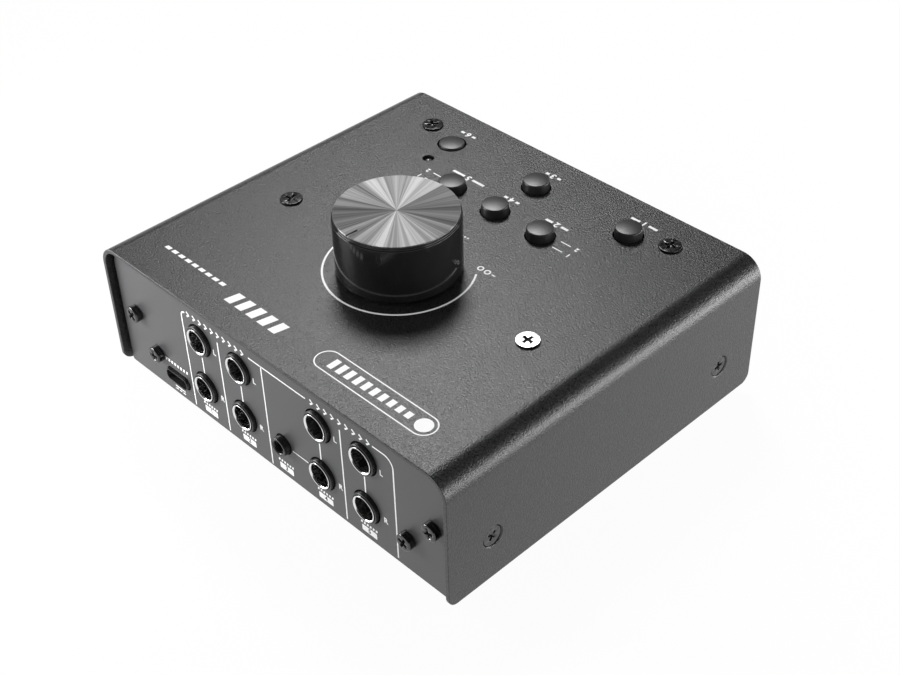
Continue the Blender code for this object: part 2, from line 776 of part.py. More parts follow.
def make_buttons():
    """Six switches on the board, each with a domed button that can't leave its hole."""
    flange_top = -SHEET - GAP
    switch_low = board_top + SEAT
    switch_high = top_face + flange_top - CAP_FLANGE_HEIGHT - BUTTON_TRAVEL - PRESS_ROOM
    half = SWITCH_SIDE / 2
    foot = switch_low + SWITCH_FLOOR + BUTTON_TRAVEL + SEAT - top_face
    profile = (
        (0, CAP_RISE),
        (CAP_CROWN / 2, CAP_RISE - CAP_DOME / 4),
        (CAP_CROWN, CAP_RISE - CAP_DOME),
        (CAP_RADIUS, CAP_RISE - CAP_DOME - CAP_SHOULDER),
        (CAP_RADIUS, flange_top),
        (CAP_FLANGE, flange_top),
        (CAP_FLANGE, flange_top - CAP_FLANGE_HEIGHT),
        (PLUNGER_RADIUS, flange_top - CAP_FLANGE_HEIGHT),
        (PLUNGER_RADIUS, foot),
        (0, foot),
    )
    for number, (x, y) in enumerate(button_places(), 1):
        body = block((x - half, y - half, switch_low), (x + half, y + half, switch_high))
        well = rod(
            PLUNGER_RADIUS + GAP,
            (x, y, switch_low + SWITCH_FLOOR),
            (x, y, switch_high + OVERRUN),
            PLUNGER_SIDES,
        )
        keep(cut(body, well), f"switch_body_{number}", "black plastic")
        drop = LATCH_DROP if number == LATCHED_BUTTON else 0
        keep(turned(profile, (x, y, top_face - drop)), f"button_{number}", "gloss black")


def make_indicator():
    """A clear lamp that ends just below the cover's face, held up by a spacer."""
    x, y = indicator_place()
    top = top_face - LED_SINK
    base = top - LED_HEIGHT
    profile = (
        (0, top),
        (LED_RADIUS * math.sin(math.pi / 4), top - LED_RADIUS * (1 - math.cos(math.pi / 4))),
        (LED_RADIUS, top - LED_RADIUS),
        (LED_RADIUS, base + LED_FLANGE_HEIGHT),
        (LED_FLANGE, base + LED_FLANGE_HEIGHT),
        (LED_FLANGE, base),
        (0, base),
    )
    keep(turned(profile, (x, y, 0), sides=SCREW_SIDES), "indicator_lamp", "clear resin")
    spacer = rod(LED_SPACER_RADIUS, (x, y, board_top + SEAT), (x, y, base - SEAT), SCREW_SIDES)
    keep(spacer, "lamp_spacer", "black plastic")


def make_jacks():
    """Four housings of two sockets each, with a contact spring and a metal ring to each bore."""
    nose_end = panel_face + JACK_NOSE_PROUD
    ring_end = panel_face + JACK_RING_PROUD
    ring_low = ring_end - JACK_RING_LENGTH
    back = jack_front + JACK_BACK_WALL
    nose = (
        (0, nose_end),
        (JACK_NOSE - JACK_NOSE_EDGE, nose_end),
        (JACK_NOSE, nose_end - JACK_NOSE_EDGE),
        (JACK_NOSE, block_front - OVERRUN),
        (0, block_front - OVERRUN),
    )
    bore = (
        (0, ring_end + OVERRUN),
        (JACK_RING + SEAT, ring_end + OVERRUN),
        (JACK_RING + SEAT, ring_low - SEAT),
        (JACK_BORE, ring_low - SEAT),
        (JACK_BORE, back),
        (0, back),
    )
    ring = (
        (JACK_BORE + JACK_RING_EDGE, ring_end),
        (JACK_RING, ring_end),
        (JACK_RING, ring_low),
        (JACK_BORE, ring_low),
        (JACK_BORE, ring_end - JACK_RING_EDGE),
    )
    for column, share in enumerate(JACK_ACROSS_SHARES, 1):
        x = share * WIDTH
        low = (x - JACK_HALF_WIDTH, jack_front, socket_board_top + SEAT)
        high = (x + JACK_HALF_WIDTH, block_front, max(jack_levels) + JACK_ROOF)
        noses = [turned(nose, (x, 0, z), REARWARD) for z in jack_levels]
        housing = joined(block(low, high), grouped(noses))
        cut(housing, grouped([turned(bore, (x, 0, z), REARWARD) for z in jack_levels]))
        cut(housing, grouped([contact_slot(x, z) for z in jack_levels]))
        joined(housing, grouped([contact_spring(x, z) for z in jack_levels]))
        keep(housing, f"jack_housing_{column}", "black plastic")
        for row, z in enumerate(jack_levels, 1):
            keep(turned(ring, (x, 0, z), REARWARD, ring=True), f"jack_ring_{column}_{row}", "bright metal")


def contact_slot(x, z):
    """The cutter of the slot that a contact spring bows out of, along the floor of a bore."""
    front = block_front - CONTACT_FRONT
    low = z - JACK_BORE - CONTACT_SINK
    half = CONTACT_HALF_WIDTH + GAP
    return block((x - half, front - CONTACT_LENGTH, low), (x + half, front, z - JACK_BORE / 2))


def contact_spring(x, z):
    """A bowed leaf rooted in the slot's front end, its hump just clear of the plug's path."""
    front = block_front - CONTACT_FRONT
    low = z - JACK_BORE - CONTACT_SINK + GAP
    run = CONTACT_LENGTH - GAP
    hump_shares = ((0, 0), (0.25, 0.1), (0.6, 0.8), (0.72, 1), (0.85, 0.8), (1, 0.3))
    under = [(front + CONTACT_SINK, low)]
    under += [(front - share * run, low + rise * CONTACT_RISE) for share, rise in hump_shares]
    over = [(y, height + CONTACT_SHEET) for y, height in reversed(under)]
    return flat(under + over, 2 * CONTACT_HALF_WIDTH, (x, 0, 0), across=REARWARD, upward=UP)


def make_small_sockets():
    """The small round socket and the flat power socket beside the jacks."""
    x = AUX_ACROSS_SHARE * WIDTH
    z = case_low + AUX_HEIGHT_SHARE * COVER_HEIGHT
    low = (x - AUX_HALF_WIDTH, block_front - AUX_DEPTH, socket_board_top + SEAT)
    body = block(low, (x + AUX_HALF_WIDTH, block_front, z + AUX_ROOF))
    nose_end = panel_face + AUX_NOSE_PROUD
    joined(body, rod(AUX_NOSE, (x, block_front - OVERRUN, z), (x, nose_end, z)))
    cut(body, rod(AUX_BORE, (x, block_front - AUX_BORE_DEPTH, z), (x, nose_end + OVERRUN, z), SCREW_SIDES))
    keep(body, "small_socket", "black plastic")
    x = USB_ACROSS_SHARE * WIDTH
    z = case_low + USB_HEIGHT
    mouth = panel_face + USB_PROUD
    back = mouth - USB_LENGTH
    outside = slot_outline(0)
    shell = flat(outside, USB_LENGTH, (x, (mouth + back) / 2, z), upward=UP)
    middle = (x, (mouth + back) / 2 + USB_WALL, z)
    cut(shell, flat(slot_outline(-USB_WALL), USB_LENGTH, middle, upward=UP))
    low = (x - TONGUE_HALF_WIDTH, back + USB_WALL / 2, z - TONGUE_HALF_HEIGHT)
    high = (x + TONGUE_HALF_WIDTH, mouth - TONGUE_BACKSET, z + TONGUE_HALF_HEIGHT)
    joined(shell, block(low, high))
    keep(shell, "power_socket", "bright metal")


def make_socket_board():
    """The board under the sockets, on the chassis standoffs."""
    low = (-socket_board_half_width, socket_board_front)
    high = (socket_board_half_width, block_front - TAB_STEP)
    middle = (0, 0, (socket_board_top + socket_board_low) / 2)
    board = flat(rounded(low, high, BOARD_CORNER, BOARD_CORNER), BOARD_SHEET, middle)
    holes = [
        rod(screw_hole, (x, y, socket_board_low - OVERRUN), (x, y, socket_board_top + OVERRUN))
        for x, y in standoff_places()
    ]
    cut(board, grouped(holes))
    keep(board, "socket_board", "circuit board")


def make_board_cable():
    """A flat cable with a plug at each end, from under the main board down to the socket board."""
    upper_high = board_low - SEAT
    lower_low = socket_board_top + SEAT
    upper_y = on_deck(0, UPPER_PLUG_DECK_SHARE)[1]
    lower_y = socket_board_front + LOWER_PLUG_INSET
    start = Vector((upper_y, upper_high - PLUG_HEIGHT / 2))
    end = Vector((lower_y, lower_low + PLUG_HEIGHT / 2))
    steps = 2 * ARC_STEPS
    line = []
    for step in range(steps + 1):
        share = step / steps
        sway = share * share * (3 - 2 * share)
        line.append(Vector((start.x + (end.x - start.x) * sway, start.y + (end.y - start.y) * share)))
    one_side = []
    other_side = []
    for index, point in enumerate(line):
        run = line[min(index + 1, steps)] - line[max(index - 1, 0)]
        across = run.normalized().orthogonal() * CABLE_THICKNESS / 2
        one_side.append(point + across)
        other_side.append(point - across)
    outline = [tuple(point) for point in one_side + other_side[::-1]]
    cable = flat(outline, 2 * CABLE_HALF_WIDTH, (0, 0, 0), across=REARWARD, upward=UP)
    plugs = [
        block(
            (-PLUG_HALF_WIDTH, y - PLUG_HALF_DEPTH, low),
            (PLUG_HALF_WIDTH, y + PLUG_HALF_DEPTH, low + PLUG_HEIGHT),
        )
        for y, low in ((upper_y, upper_high - PLUG_HEIGHT), (lower_y, lower_low))
    ]
    joined(cable, grouped(plugs))
    keep(cable, "board_cable", "grey cable")


def main():
    make_cover()
    make_chassis()
    make_panels()
    make_feet()
    make_screws()
    make_main_board()
    make_volume_control()
    make_buttons()
    make_indicator()
    make_jacks()
    make_small_sockets()
    make_socket_board()
    make_board_cable()


for leftover in list(bpy.data.objects):
    bpy.data.objects.remove(leftover)
parts = new_collection("studio monitor controller")
cutters = new_collection("cutters")
bench = new_collection("bench")
main()
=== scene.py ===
"""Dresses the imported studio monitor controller: finely made pieces in the place of the faceted ones,
printed marks, finishes, a plain pale floor, soft light and the camera of the photograph."""

import math

import bmesh
import bpy
from mathutils import Matrix, Vector


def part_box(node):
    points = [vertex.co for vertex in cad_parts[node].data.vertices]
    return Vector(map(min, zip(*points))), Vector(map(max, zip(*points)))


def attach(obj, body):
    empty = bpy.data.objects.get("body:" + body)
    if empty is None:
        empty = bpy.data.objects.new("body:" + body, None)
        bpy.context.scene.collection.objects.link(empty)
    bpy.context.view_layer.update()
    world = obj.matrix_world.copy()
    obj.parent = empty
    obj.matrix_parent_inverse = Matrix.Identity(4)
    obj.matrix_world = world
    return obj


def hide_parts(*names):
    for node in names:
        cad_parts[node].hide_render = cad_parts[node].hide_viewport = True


bl_info = {
    "name": "Studio Monitor Controller",
    "version": (1, 0, 0),
    "blender": (4, 5, 0),
    "location": "View3D > Sidebar > Controller",
    "description": "Builds the looks of a desktop monitor controller around its packed frame",
    "category": "Add Mesh",
}

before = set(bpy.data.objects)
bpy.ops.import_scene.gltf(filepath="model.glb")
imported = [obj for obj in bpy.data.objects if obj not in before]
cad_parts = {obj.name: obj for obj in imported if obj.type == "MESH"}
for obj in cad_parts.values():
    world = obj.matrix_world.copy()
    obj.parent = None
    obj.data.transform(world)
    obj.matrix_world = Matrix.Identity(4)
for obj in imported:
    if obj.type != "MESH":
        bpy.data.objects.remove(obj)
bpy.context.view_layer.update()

MM = 0.001
UP = Vector((0, 0, 1))

# Levels and faces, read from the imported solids
cover_low, cover_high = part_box("cover")
rear_low, rear_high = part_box("rear_panel")
top = cover_high.z
case_low = cover_low.z
half_width = cover_high.x
half_depth = cover_high.y
rear_face = rear_high.y
rear_back = rear_low.y


def middle_of(node):
    low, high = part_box(node)
    return (low + high) / 2


def radius_of(node):
    low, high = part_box(node)
    return (high.x - low.x) / 2


def over(node, level):
    """A place on a solid's upright axis."""
    middle = middle_of(node)
    return (middle.x, middle.y, level)


def mm(*pairs):
    return [(x * MM, y * MM) for x, y in pairs]


# Sizes of the fine forms, in metres
SHEET = 1.2 * MM
COVER_BEND = 6.2 * MM
WALL_CORNER = 2.8 * MM
PANEL_LOW_CORNER = 0.8 * MM
EDGE_ROUND = 0.16 * MM
OVERRUN = 2 * MM
HOLE_CLEARANCE = 0.3 * MM
LAMP_CLEARANCE = 0.25 * MM
SHAFT_HOLE = 4.8 * MM
SCREW_HOLE = 1.8 * MM
SINK_RADIUS = 3.25 * MM
SINK_FLOOR = 2.9 * MM
FLUSH_DROP = 0.3 * MM
PAN_HEIGHT = 1.8 * MM
WAFER_HEIGHT = 0.4 * MM
NECK_RADIUS = 1.5 * MM
THREAD_RADIUS = 1.42 * MM
THREAD_LENGTH = 4 * MM
THREAD_PITCH = 0.5 * MM
KNOB_WALL = 1.8 * MM
KNOB_WEB = 2.4 * MM
HUB_RADIUS = 5.2 * MM
HUB_FOOT = 3.4 * MM
DISC_GAP = 0.05 * MM
DISC_LANDS = 0.5 * MM
POINTER_LENGTH = 3.5 * MM
POINTER_HALF = 0.34 * MM
CAP_EDGE = 0.22 * MM
CAP_INSET = 0.35 * MM
CAP_SKIRT = 1.9 * MM
FLANGE_HEIGHT = 1.1 * MM
STEM_RADIUS = 1.75 * MM
LAMP_FLANGE = 1.9 * MM
JACK_NOSE = 4.35 * MM
JACK_BORE = 3.2 * MM
JACK_RING = 3.7 * MM
JACK_STEP = 2.5 * MM
AUX_NOSE = 2.7 * MM
AUX_BORE = 1.8 * MM
AUX_DROP = 3.4 * MM
USB_CORNER = 1.6 * MM
USB_MARGIN = 0.3 * MM
USB_WALL = 0.35 * MM
INK_HEIGHT = 0.02 * MM
FINE_LINE = 0.34 * MM
BROAD_LINE = 0.42 * MM

# How finely the round forms are cut
FINE = 96
ROUND = 64
SMALL = 40
BEND_STEPS = 20
CORNER_STEPS = 4
DOME_STEPS = 12
CROWN_STEPS = 8
SPRING_STEPS = 12
SHARP = math.radians(34)
EASED = math.radians(48)


def numbered(stem, count):
    return [f"{stem}_{number}" for number in range(1, count + 1)]


# Places along which the pieces repeat
COLUMNS = range(1, 5)
ROWS = (1, 2)
BUTTONS = range(1, 7)
RINGS = [f"jack_ring_{column}_{row}" for column in COLUMNS for row in ROWS]
SIDE_SCREWS = numbered("side_screw", 4)
TOP_SCREWS = numbered("top_screw", 4)
REAR_SCREWS = numbered("rear_screw", 4)
FRONT_SCREWS = numbered("front_screw", 2)

# The one screw whose head face shows a painted reflection of the lamp above as bright plating, and how far
# the screws' slots are turned
REFLECTION_PAINTED_SCREW = "top_screw_2"
SCREW_TURNS = [math.radians(angle) for angle in (12, 85, 63, 21, 8, 52, 31, 74, 18, 47, 66, 5, 33, 58)]


# Shader maths
class Value:
    """A shader socket that takes part in sums, products and powers as a number does."""

    def __init__(self, tree, socket):
        self.tree = tree
        self.socket = socket

    def math(self, operation, *others):
        node = self.tree.nodes.new("ShaderNodeMath")
        node.operation = operation
        for place, item in zip(node.inputs, (self, *others)):
            connect(self.tree, item, place)
        return Value(self.tree, node.outputs[0])

    def __add__(self, other):
        return self.math("ADD", other)

    def __mul__(self, other):
        return self.math("MULTIPLY", other)

    def __sub__(self, other):
        return self.math("SUBTRACT", other)

    def __pow__(self, other):
        return self.math("POWER", other)

    def __rsub__(self, other):
        return (self * -1) + other

    __radd__ = __add__
    __rmul__ = __mul__


def connect(tree, item, socket):
    if isinstance(item, Value):
        tree.links.new(item.socket, socket)
    else:
        socket.default_value = item


class NodeTree:
    """A tree of shader nodes, with one way to add a node."""

    def __init__(self, tree):
        self.tree = tree

    def node(self, kind, settings=None, output=0, **inputs):
        """Any node by its type: its settings are set first, then the values or links of its sockets."""
        made = self.tree.nodes.new("ShaderNode" + kind)
        for name, setting in (settings or {}).items():
            if name == "stops":
                ramp = made.color_ramp.elements
                while len(ramp) < len(setting):
                    ramp.new(1)
                for element, (place, level) in zip(ramp, setting):
                    element.position = place
                    element.color = grey(level)
            else:
                setattr(made, name, setting)
        for name, item in inputs.items():
            socket = made.inputs[int(name[1:])] if name[0] == "_" else made.inputs[name.replace("_", " ")]
            connect(self.tree, item, socket)
        return Value(self.tree, made.outputs[output])

    def place(self):
        """The object's own coordinates, in metres."""
        return self.node("TexCoord", output=3)

    def noise(self, scale, detail=2.0, roughness=0.5, where=None):
        where = where or self.place()
        return self.node("TexNoise", Vector=where, Scale=scale, Detail=detail, Roughness=roughness)

    def line_noise(self, where, scale, detail=2.0):
        """Noise that changes along one number only."""
        return self.node("TexNoise", {"noise_dimensions": "1D"}, W=where, Scale=scale, Detail=detail)

    def axis(self, number):
        """One of the object's own coordinates."""
        return self.node("SeparateXYZ", output=number, Vector=self.place())

    def mix(self, factor, first, second):
        return self.node("Mix", {"data_type": "RGBA"}, output=2, _0=factor, _6=first, _7=second)

    def stretched(self, scale):
        """The object's own coordinates, drawn out along an axis."""
        return self.node("Mapping", Vector=self.place(), Scale=scale)

    def seen(self):
        """One for what the camera sees, straight on, in gloss or through glass, and zero for light."""
        path = [self.node("LightPath", output=number) for number in (0, 3, 6)]
        return path[0].math("MAXIMUM", path[1]).math("MAXIMUM", path[2])


class Finish(NodeTree):
    """A material under construction: its tree, its shader and the nodes added to it."""

    def __init__(self, name, **settings):
        self.material = bpy.data.materials.new("fine_" + name)
        self.material.use_nodes = True
        super().__init__(self.material.node_tree)
        self.shader = self.tree.nodes["Principled BSDF"]
        for socket, item in settings.items():
            self.set(socket.replace("_", " ").title(), item)

    def set(self, socket, item):
        connect(self.tree, item, self.shader.inputs[socket])

    def paint(self, factor, first, second, roughness):
        """A base colour that drifts between two, and a roughness."""
        self.set("Base Color", self.mix(factor, first, second))
        self.set("Roughness", roughness)
        return self.material

    def bump(self, height, distance, strength):
        self.set("Normal", self.node("Bump", Height=height, Distance=distance, Strength=strength))


def grey(level):
    return (level, level, level, 1)


def tint(paint, share=1):
    """A paint made darker or paler by a share, as a colour socket takes it."""
    return (*[part * share for part in paint], 1)


# Finishes
def powder_coat(looks):
    """Black powder coat: an even orange peel, its grain shown by paler flecks in the base colour as
    painted glints.
    """
    made = Finish("powder_coat")
    grain = made.noise(3400, 2, 0.6)
    peel = made.noise(2100, 1, 0.5)
    # Paler flecks where the grain is high: painted glints in the base colour.
    painted_glint_speck = made.node("ValToRGB", {"stops": ((0.46, 0), (0.62, 1))}, Fac=grain)
    made.bump(grain + peel, 0.075 * MM, 1)
    dark, pale = tint(looks.case_paint, 0.5), tint(looks.case_paint, 3)
    return made.paint(painted_glint_speck, dark, pale, peel * 0.2 + grain * 0.3 + 0.07)


def panel_paint(looks):
    """Smooth satin paint of the end panels."""
    made = Finish("panel_paint")
    haze = made.noise(5200)
    made.bump(haze, 0.006 * MM, 0.35)
    plain, pale = tint(looks.panel_paint), tint(looks.panel_paint, 1.25)
    return made.paint(made.noise(60) * 0.5, plain, pale, haze * 0.08 + 0.34)


def plated_steel(looks):
    """Zinc plated sheet with a faint spangle and rolling lines."""
    made = Finish("plated_steel", metallic=1.0)
    spangle = made.node("TexVoronoi", Vector=made.place(), Scale=420)
    rolled = made.noise(3000, where=made.stretched((1, 0.03, 1)))
    made.bump(rolled, 0.01 * MM, 0.3)
    return made.paint(spangle, grey(0.42), grey(0.55), rolled * 0.2 + 0.25 + spangle * 0.08)


def foot_rubber(looks):
    """Dull rubber with a coarse skin."""
    made = Finish("foot_rubber")
    skin = made.noise(4200, 3, 0.6)
    made.bump(skin, 0.03 * MM, 0.5)
    return made.paint(skin, grey(0.012), grey(0.03), skin * 0.2 + 0.65)


def black_screw(looks):
    """Black plated steel, a little brighter where the tool has worn it."""
    made = Finish("black_screw", metallic=1.0)
    wear_and_reflection_tone = made.noise(1500, 3, 0.6)
    made.bump(made.noise(6000), 0.006 * MM, 0.4)
    return made.paint(wear_and_reflection_tone, grey(0.03), grey(0.12), wear_and_reflection_tone * 0.16 + 0.12)


def bright_screw(looks):
    """Bright plating on one top screw's face: a painted reflection of the lamp above, its tone drifting a
    little.
    """
    made = Finish("bright_screw", metallic=1.0)
    # Tone drift within the painted reflection.
    wear_and_reflection_tone = made.noise(1500, 3, 0.6)
    return made.paint(wear_and_reflection_tone, grey(0.62), grey(0.8), wear_and_reflection_tone * 0.12 + 0.22)


def circuit_board(looks):
    """Green mask over a woven board."""
    made = Finish("circuit_board", coat_weight=0.4)
    weave = made.node("TexChecker", output=1, Vector=made.place(), Scale=1400)
    dark, pale = (0.004, 0.03, 0.012, 1), (0.008, 0.05, 0.02, 1)
    return made.paint(weave * 0.4, dark, pale, made.noise(700) * 0.15 + 0.3)


def plain_plastic(name, dark, pale, rough):
    """Moulded plastic: a colour that drifts a little, an even roughness and a fine skin."""
    made = Finish(name)
    skin = made.noise(4200)
    made.bump(skin, 0.006 * MM, 0.4)
    return made.paint(made.noise(90), dark, pale, skin * 0.08 + rough)


def grey_cable(looks):
    """Ribbed grey sleeve of the flat cable, its grey darker in the troughs of the ribs as painted shade.
    """
    made = Finish("grey_cable")
    ribs = made.node("TexWave", {"bands_direction": "X"}, output=1, Vector=made.place(), Scale=250)
    made.bump(ribs, 0.2 * MM, 0.5)
    # Darker grey in the rib troughs: painted shade.
    return made.paint(ribs, grey(0.16), grey(0.3), made.noise(600) * 0.1 + 0.5)


def knob_black(looks):
    """Gloss black, with faint turning lines round the side."""
    made = Finish("knob_black")
    lines = made.line_noise(made.axis(2), 24000)
    smear = made.noise(160, 3, 0.6)
    made.bump(lines, 0.0012 * MM, 0.3)
    return made.paint(smear, grey(0.008), grey(0.016), lines * 0.04 + smear * 0.06 + 0.06)


def spun_aluminium(looks):
    """Dark anodised disc, brushed in circles, with painted highlights in wedges and streaks from the
    middle in its base colour.
    """
    made = Finish("spun_aluminium", metallic=1.0, anisotropic=0.98, anisotropic_rotation=0.25)
    across = made.axis(0)
    along = made.axis(1)
    angle = across.math("ARCTAN2", along * -1)
    reach = (across * across + along * along) ** 0.5
    painted_highlight_fans = made.node("ValToRGB", {"stops": ((0.4, 0), (0.6, 1))}, Fac=made.line_noise(angle, 3.6, 3))
    streak = made.line_noise(angle, 22, 3)
    rings = made.line_noise(reach, 15000, 3)
    made.bump(rings, 0.004 * MM, 0.5)
    # Base colour paler in wedges and streaks round the middle: painted highlights of the brushed rings.
    painted_highlight = painted_highlight_fans * 0.6 + streak * 0.9 - 0.25
    return made.paint(painted_highlight, grey(0.07), grey(0.42), streak * 0.2 + rings * 0.2 + 0.28)


def button_black(looks):
    """Satin black caps, a little worn on the crown."""
    made = Finish("button_black")
    skin = made.noise(3600, 3, 0.6)
    made.bump(skin, 0.008 * MM, 0.4)
    return made.paint(made.noise(400), grey(0.012), grey(0.022), skin * 0.12 + 0.28)


def clear_resin(looks):
    """The lamp's cloudy resin, unlit."""
    made = Finish("clear_resin", coat_weight=0.6)
    cloud = made.noise(900)
    return made.paint(cloud, grey(0.05), grey(0.2), cloud * 0.06 + 0.1)


def bright_metal(looks):
    """Nickel plated rings, with fine turning lines."""
    made = Finish("bright_metal", metallic=1.0)
    lines = made.line_noise(made.axis(1), 9000)
    return made.paint(made.noise(700), grey(0.72), grey(0.86), lines * 0.1 + 0.12)


def socket_metal(looks):
    """Drawn shell of the power socket, brushed along its depth."""
    made = Finish("socket_metal", metallic=1.0)
    brushed = made.noise(2500, where=made.stretched((0.05, 1, 1)))
    return made.paint(brushed, grey(0.5), grey(0.68), brushed * 0.15 + 0.2)


def contact_brass(looks):
    """Brass of the contact springs and pads."""
    made = Finish("contact_brass", metallic=1.0)
    dark, pale = (0.55, 0.4, 0.18, 1), (0.7, 0.52, 0.26, 1)
    return made.paint(made.noise(900), dark, pale, made.noise(2500) * 0.15 + 0.25)


def white_ink(looks):
    """Screen printed ink, thin enough for the coat's grain to show in it."""
    made = Finish("white_ink")
    grain = made.noise(2600, 3, 0.6)
    made.bump(grain, 0.012 * MM, 0.3)
    return made.paint(grain * 0.5, tint(looks.ink), tint(looks.ink, 0.86), grain * 0.1 + 0.45)


PLASTICS = {
    "black_plastic": (grey(0.012), grey(0.02), 0.4),
    "socket_plastic": (grey(0.008), grey(0.014), 0.24),
    "dark_ink": (grey(0.012), grey(0.02), 0.45),
}
MAKERS = {maker.__name__: maker for maker in (
    powder_coat, panel_paint, plated_steel, foot_rubber, black_screw, bright_screw, circuit_board,
    grey_cable, knob_black, spun_aluminium, button_black, clear_resin, bright_metal, socket_metal,
    contact_brass, white_ink,
)}
ready_finishes = {}


def finish_named(name):
    """A finish, made the first time that it is asked for."""
    if name not in ready_finishes:
        if name in PLASTICS:
            ready_finishes[name] = plain_plastic(name, *PLASTICS[name])
        else:
            ready_finishes[name] = MAKERS[name](bpy.context.scene.controller_looks)
    return ready_finishes[name]


# Mesh tools
def linked(name, data):
    """An object in the scene from its data."""
    made = bpy.data.objects.new(name, data)
    bpy.context.scene.collection.objects.link(made)
    return made


def new_object(name, shape):
    """An object in the scene from a bmesh, shaded smooth up to the sharp angle."""
    bmesh.ops.recalc_face_normals(shape, faces=shape.faces)
    mesh = bpy.data.meshes.new(name)
    shape.to_mesh(mesh)
    shape.free()
    return smoothed(linked(name, mesh))


def smoothed(made):
    made.data.shade_smooth()
    made.data.set_sharp_from_angle(angle=SHARP)
    return made


def painted(made, finish):
    """Give a mesh one more finish."""
    made.data.materials.append(finish_named(finish))
    return made


def placed(made, finish, nodes=(), body="case"):
    """Paint a bare piece, set it on its body and let it stand for its solids."""
    if not made.data.materials:
        painted(made, finish)
    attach(made, body)
    if nodes:
        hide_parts(*nodes)


def copy_at(made, name, location, turn=Matrix()):
    """Another object with the same mesh at another place."""
    copy = linked(name, made.data)
    copy.matrix_world = Matrix.Translation(location) @ turn
    return copy


def evened(made):
    """Let the large faces lead the shading."""
    made.modifiers.new("even", "WEIGHTED_NORMAL").keep_sharp = True
    return made


def facing(axis):
    """The turn that brings +Z onto an axis."""
    return Vector(axis).to_track_quat("Z", "Y").to_matrix().to_4x4()


def arc(centre, radius, start, sweep, steps=BEND_STEPS):
    """Points along a round corner, its angles in quarter turns."""
    angles = [(start + sweep * step / steps) * math.pi / 2 for step in range(steps + 1)]
    return [(centre[0] + radius * math.cos(a), centre[1] + radius * math.sin(a)) for a in angles]


def softened(points, radius, closed=False):
    """A line whose corners are rounded, each as far as its two sides allow."""
    count = len(points)
    flat = [Vector(point) for point in points]
    result = []
    for index, corner in enumerate(flat):
        if not closed and index in (0, count - 1):
            result.append(tuple(corner))
            continue
        before = flat[index - 1] - corner
        after = flat[(index + 1) % count] - corner
        reach = min(radius, before.length * 0.45, after.length * 0.45)
        start = corner + before.normalized() * reach
        end = corner + after.normalized() * reach
        for step in range(CORNER_STEPS + 1):
            share = step / CORNER_STEPS
            first = start.lerp(corner, share)
            result.append(tuple(first.lerp(corner.lerp(end, share), share)))
    return result


def rounded(low, high, low_corner, high_corner):
    """A rectangle whose lower and upper corners are rounded."""
    left, bottom = low
    right, above = high
    return (
        arc((right - high_corner, above - high_corner), high_corner, 0, 1)
        + arc((left + high_corner, above - high_corner), high_corner, 1, 1)
        + arc((left + low_corner, bottom + low_corner), low_corner, 2, 1)
        + arc((right - low_corner, bottom + low_corner), low_corner, 3, 1)
    )


def turned(name, profile, sides=ROUND, matrix=Matrix(), closed=False):
    """An object from a profile of radius and height, turned about Z."""
    shape = bmesh.new()
    rings = []
    for radius, height in profile:
        if radius < 1e-9:
            rings.append([shape.verts.new(matrix @ Vector((0, 0, height)))])
            continue
        angles = [math.tau * step / sides for step in range(sides)]
        rings.append([
            shape.verts.new(matrix @ Vector((radius * math.cos(a), radius * math.sin(a), height)))
            for a in angles
        ])
    pairs = list(zip(rings, rings[1:]))
    if closed:
        pairs.append((rings[-1], rings[0]))
    for upper, lower in pairs:
        if len(upper) == 1 and len(lower) == 1:
            continue
        for step in range(sides):
            after = (step + 1) % sides
            if len(upper) == 1:
                shape.faces.new((upper[0], lower[step], lower[after]))
            elif len(lower) == 1:
                shape.faces.new((upper[step], lower[0], upper[after]))
            else:
                shape.faces.new((upper[step], lower[step], lower[after], upper[after]))
    return new_object(name, shape)


def capped(shape, lower, upper):
    """Close two loops of points into a solid, in a bmesh."""
    loops = [[shape.verts.new(point) for point in loop] for loop in (lower, upper)]
    shape.faces.new(loops[0][::-1])
    shape.faces.new(loops[1])
    for index in range(len(lower)):
        after = (index + 1) % len(lower)
        shape.faces.new((loops[0][index], loops[0][after], loops[1][after], loops[1][index]))


def prism_into(shape, outline, low, high, matrix):
    """Add a flat outline, thick from low to high along Z, to a bmesh."""
    capped(shape, *[[matrix @ Vector((x, y, z)) for x, y in outline] for z in (low, high)])


def prism(name, outline, low, high, matrix):
    shape = bmesh.new()
    prism_into(shape, outline, low, high, matrix)
    return new_object(name, shape)


def basis(across, upward, origin=(0, 0, 0)):
    """The matrix that lays X and Y along two directions."""
    across = Vector(across)
    upward = Vector(upward)
    turn = Matrix((across, upward, across.cross(upward))).transposed().to_4x4()
    return Matrix.Translation(origin) @ turn


TOP_PLANE = basis((1, 0, 0), (0, 1, 0), (0, 0, top))
REAR_PLANE = basis((-1, 0, 0), (0, 0, 1), (0, rear_face, case_low))
SECTION = basis((1, 0, 0), (0, 0, 1))
SIDE_VIEW = basis((0, 1, 0), (0, 0, 1))


def carved(made, cutter, operation="DIFFERENCE", ease=0.0):
    """Cut an object with another, ease its sharp edges, and bake both into its mesh."""
    change = made.modifiers.new("carve", "BOOLEAN")
    change.operation = operation
    change.solver = "EXACT"
    change.object = cutter
    if ease:
        edge = made.modifiers.new("ease", "BEVEL")
        edge.width = ease
        edge.segments = 2
        edge.limit_method = "ANGLE"
        edge.angle_limit = EASED
    bpy.context.view_layer.update()
    graph = bpy.context.evaluated_depsgraph_get()
    made.data = bpy.data.meshes.new_from_object(made.evaluated_get(graph), depsgraph=graph)
    made.modifiers.clear()
    bpy.data.objects.remove(cutter)
    return evened(smoothed(made))


def drill(radius, start, end, sides=ROUND):
    """A round cutter between two points."""
    start = Vector(start)
    run = Vector(end) - start
    profile = ((0, 0), (radius, 0), (radius, run.length), (0, run.length))
    return turned("drill", profile, sides, Matrix.Translation(start) @ facing(run))


def in_one(drills):
    """Several cutters as one object."""
    shape = bmesh.new()
    for part in drills:
        part.data.transform(part.matrix_world)
        shape.from_mesh(part.data)
        bpy.data.objects.remove(part)
    return new_object("drills", shape)


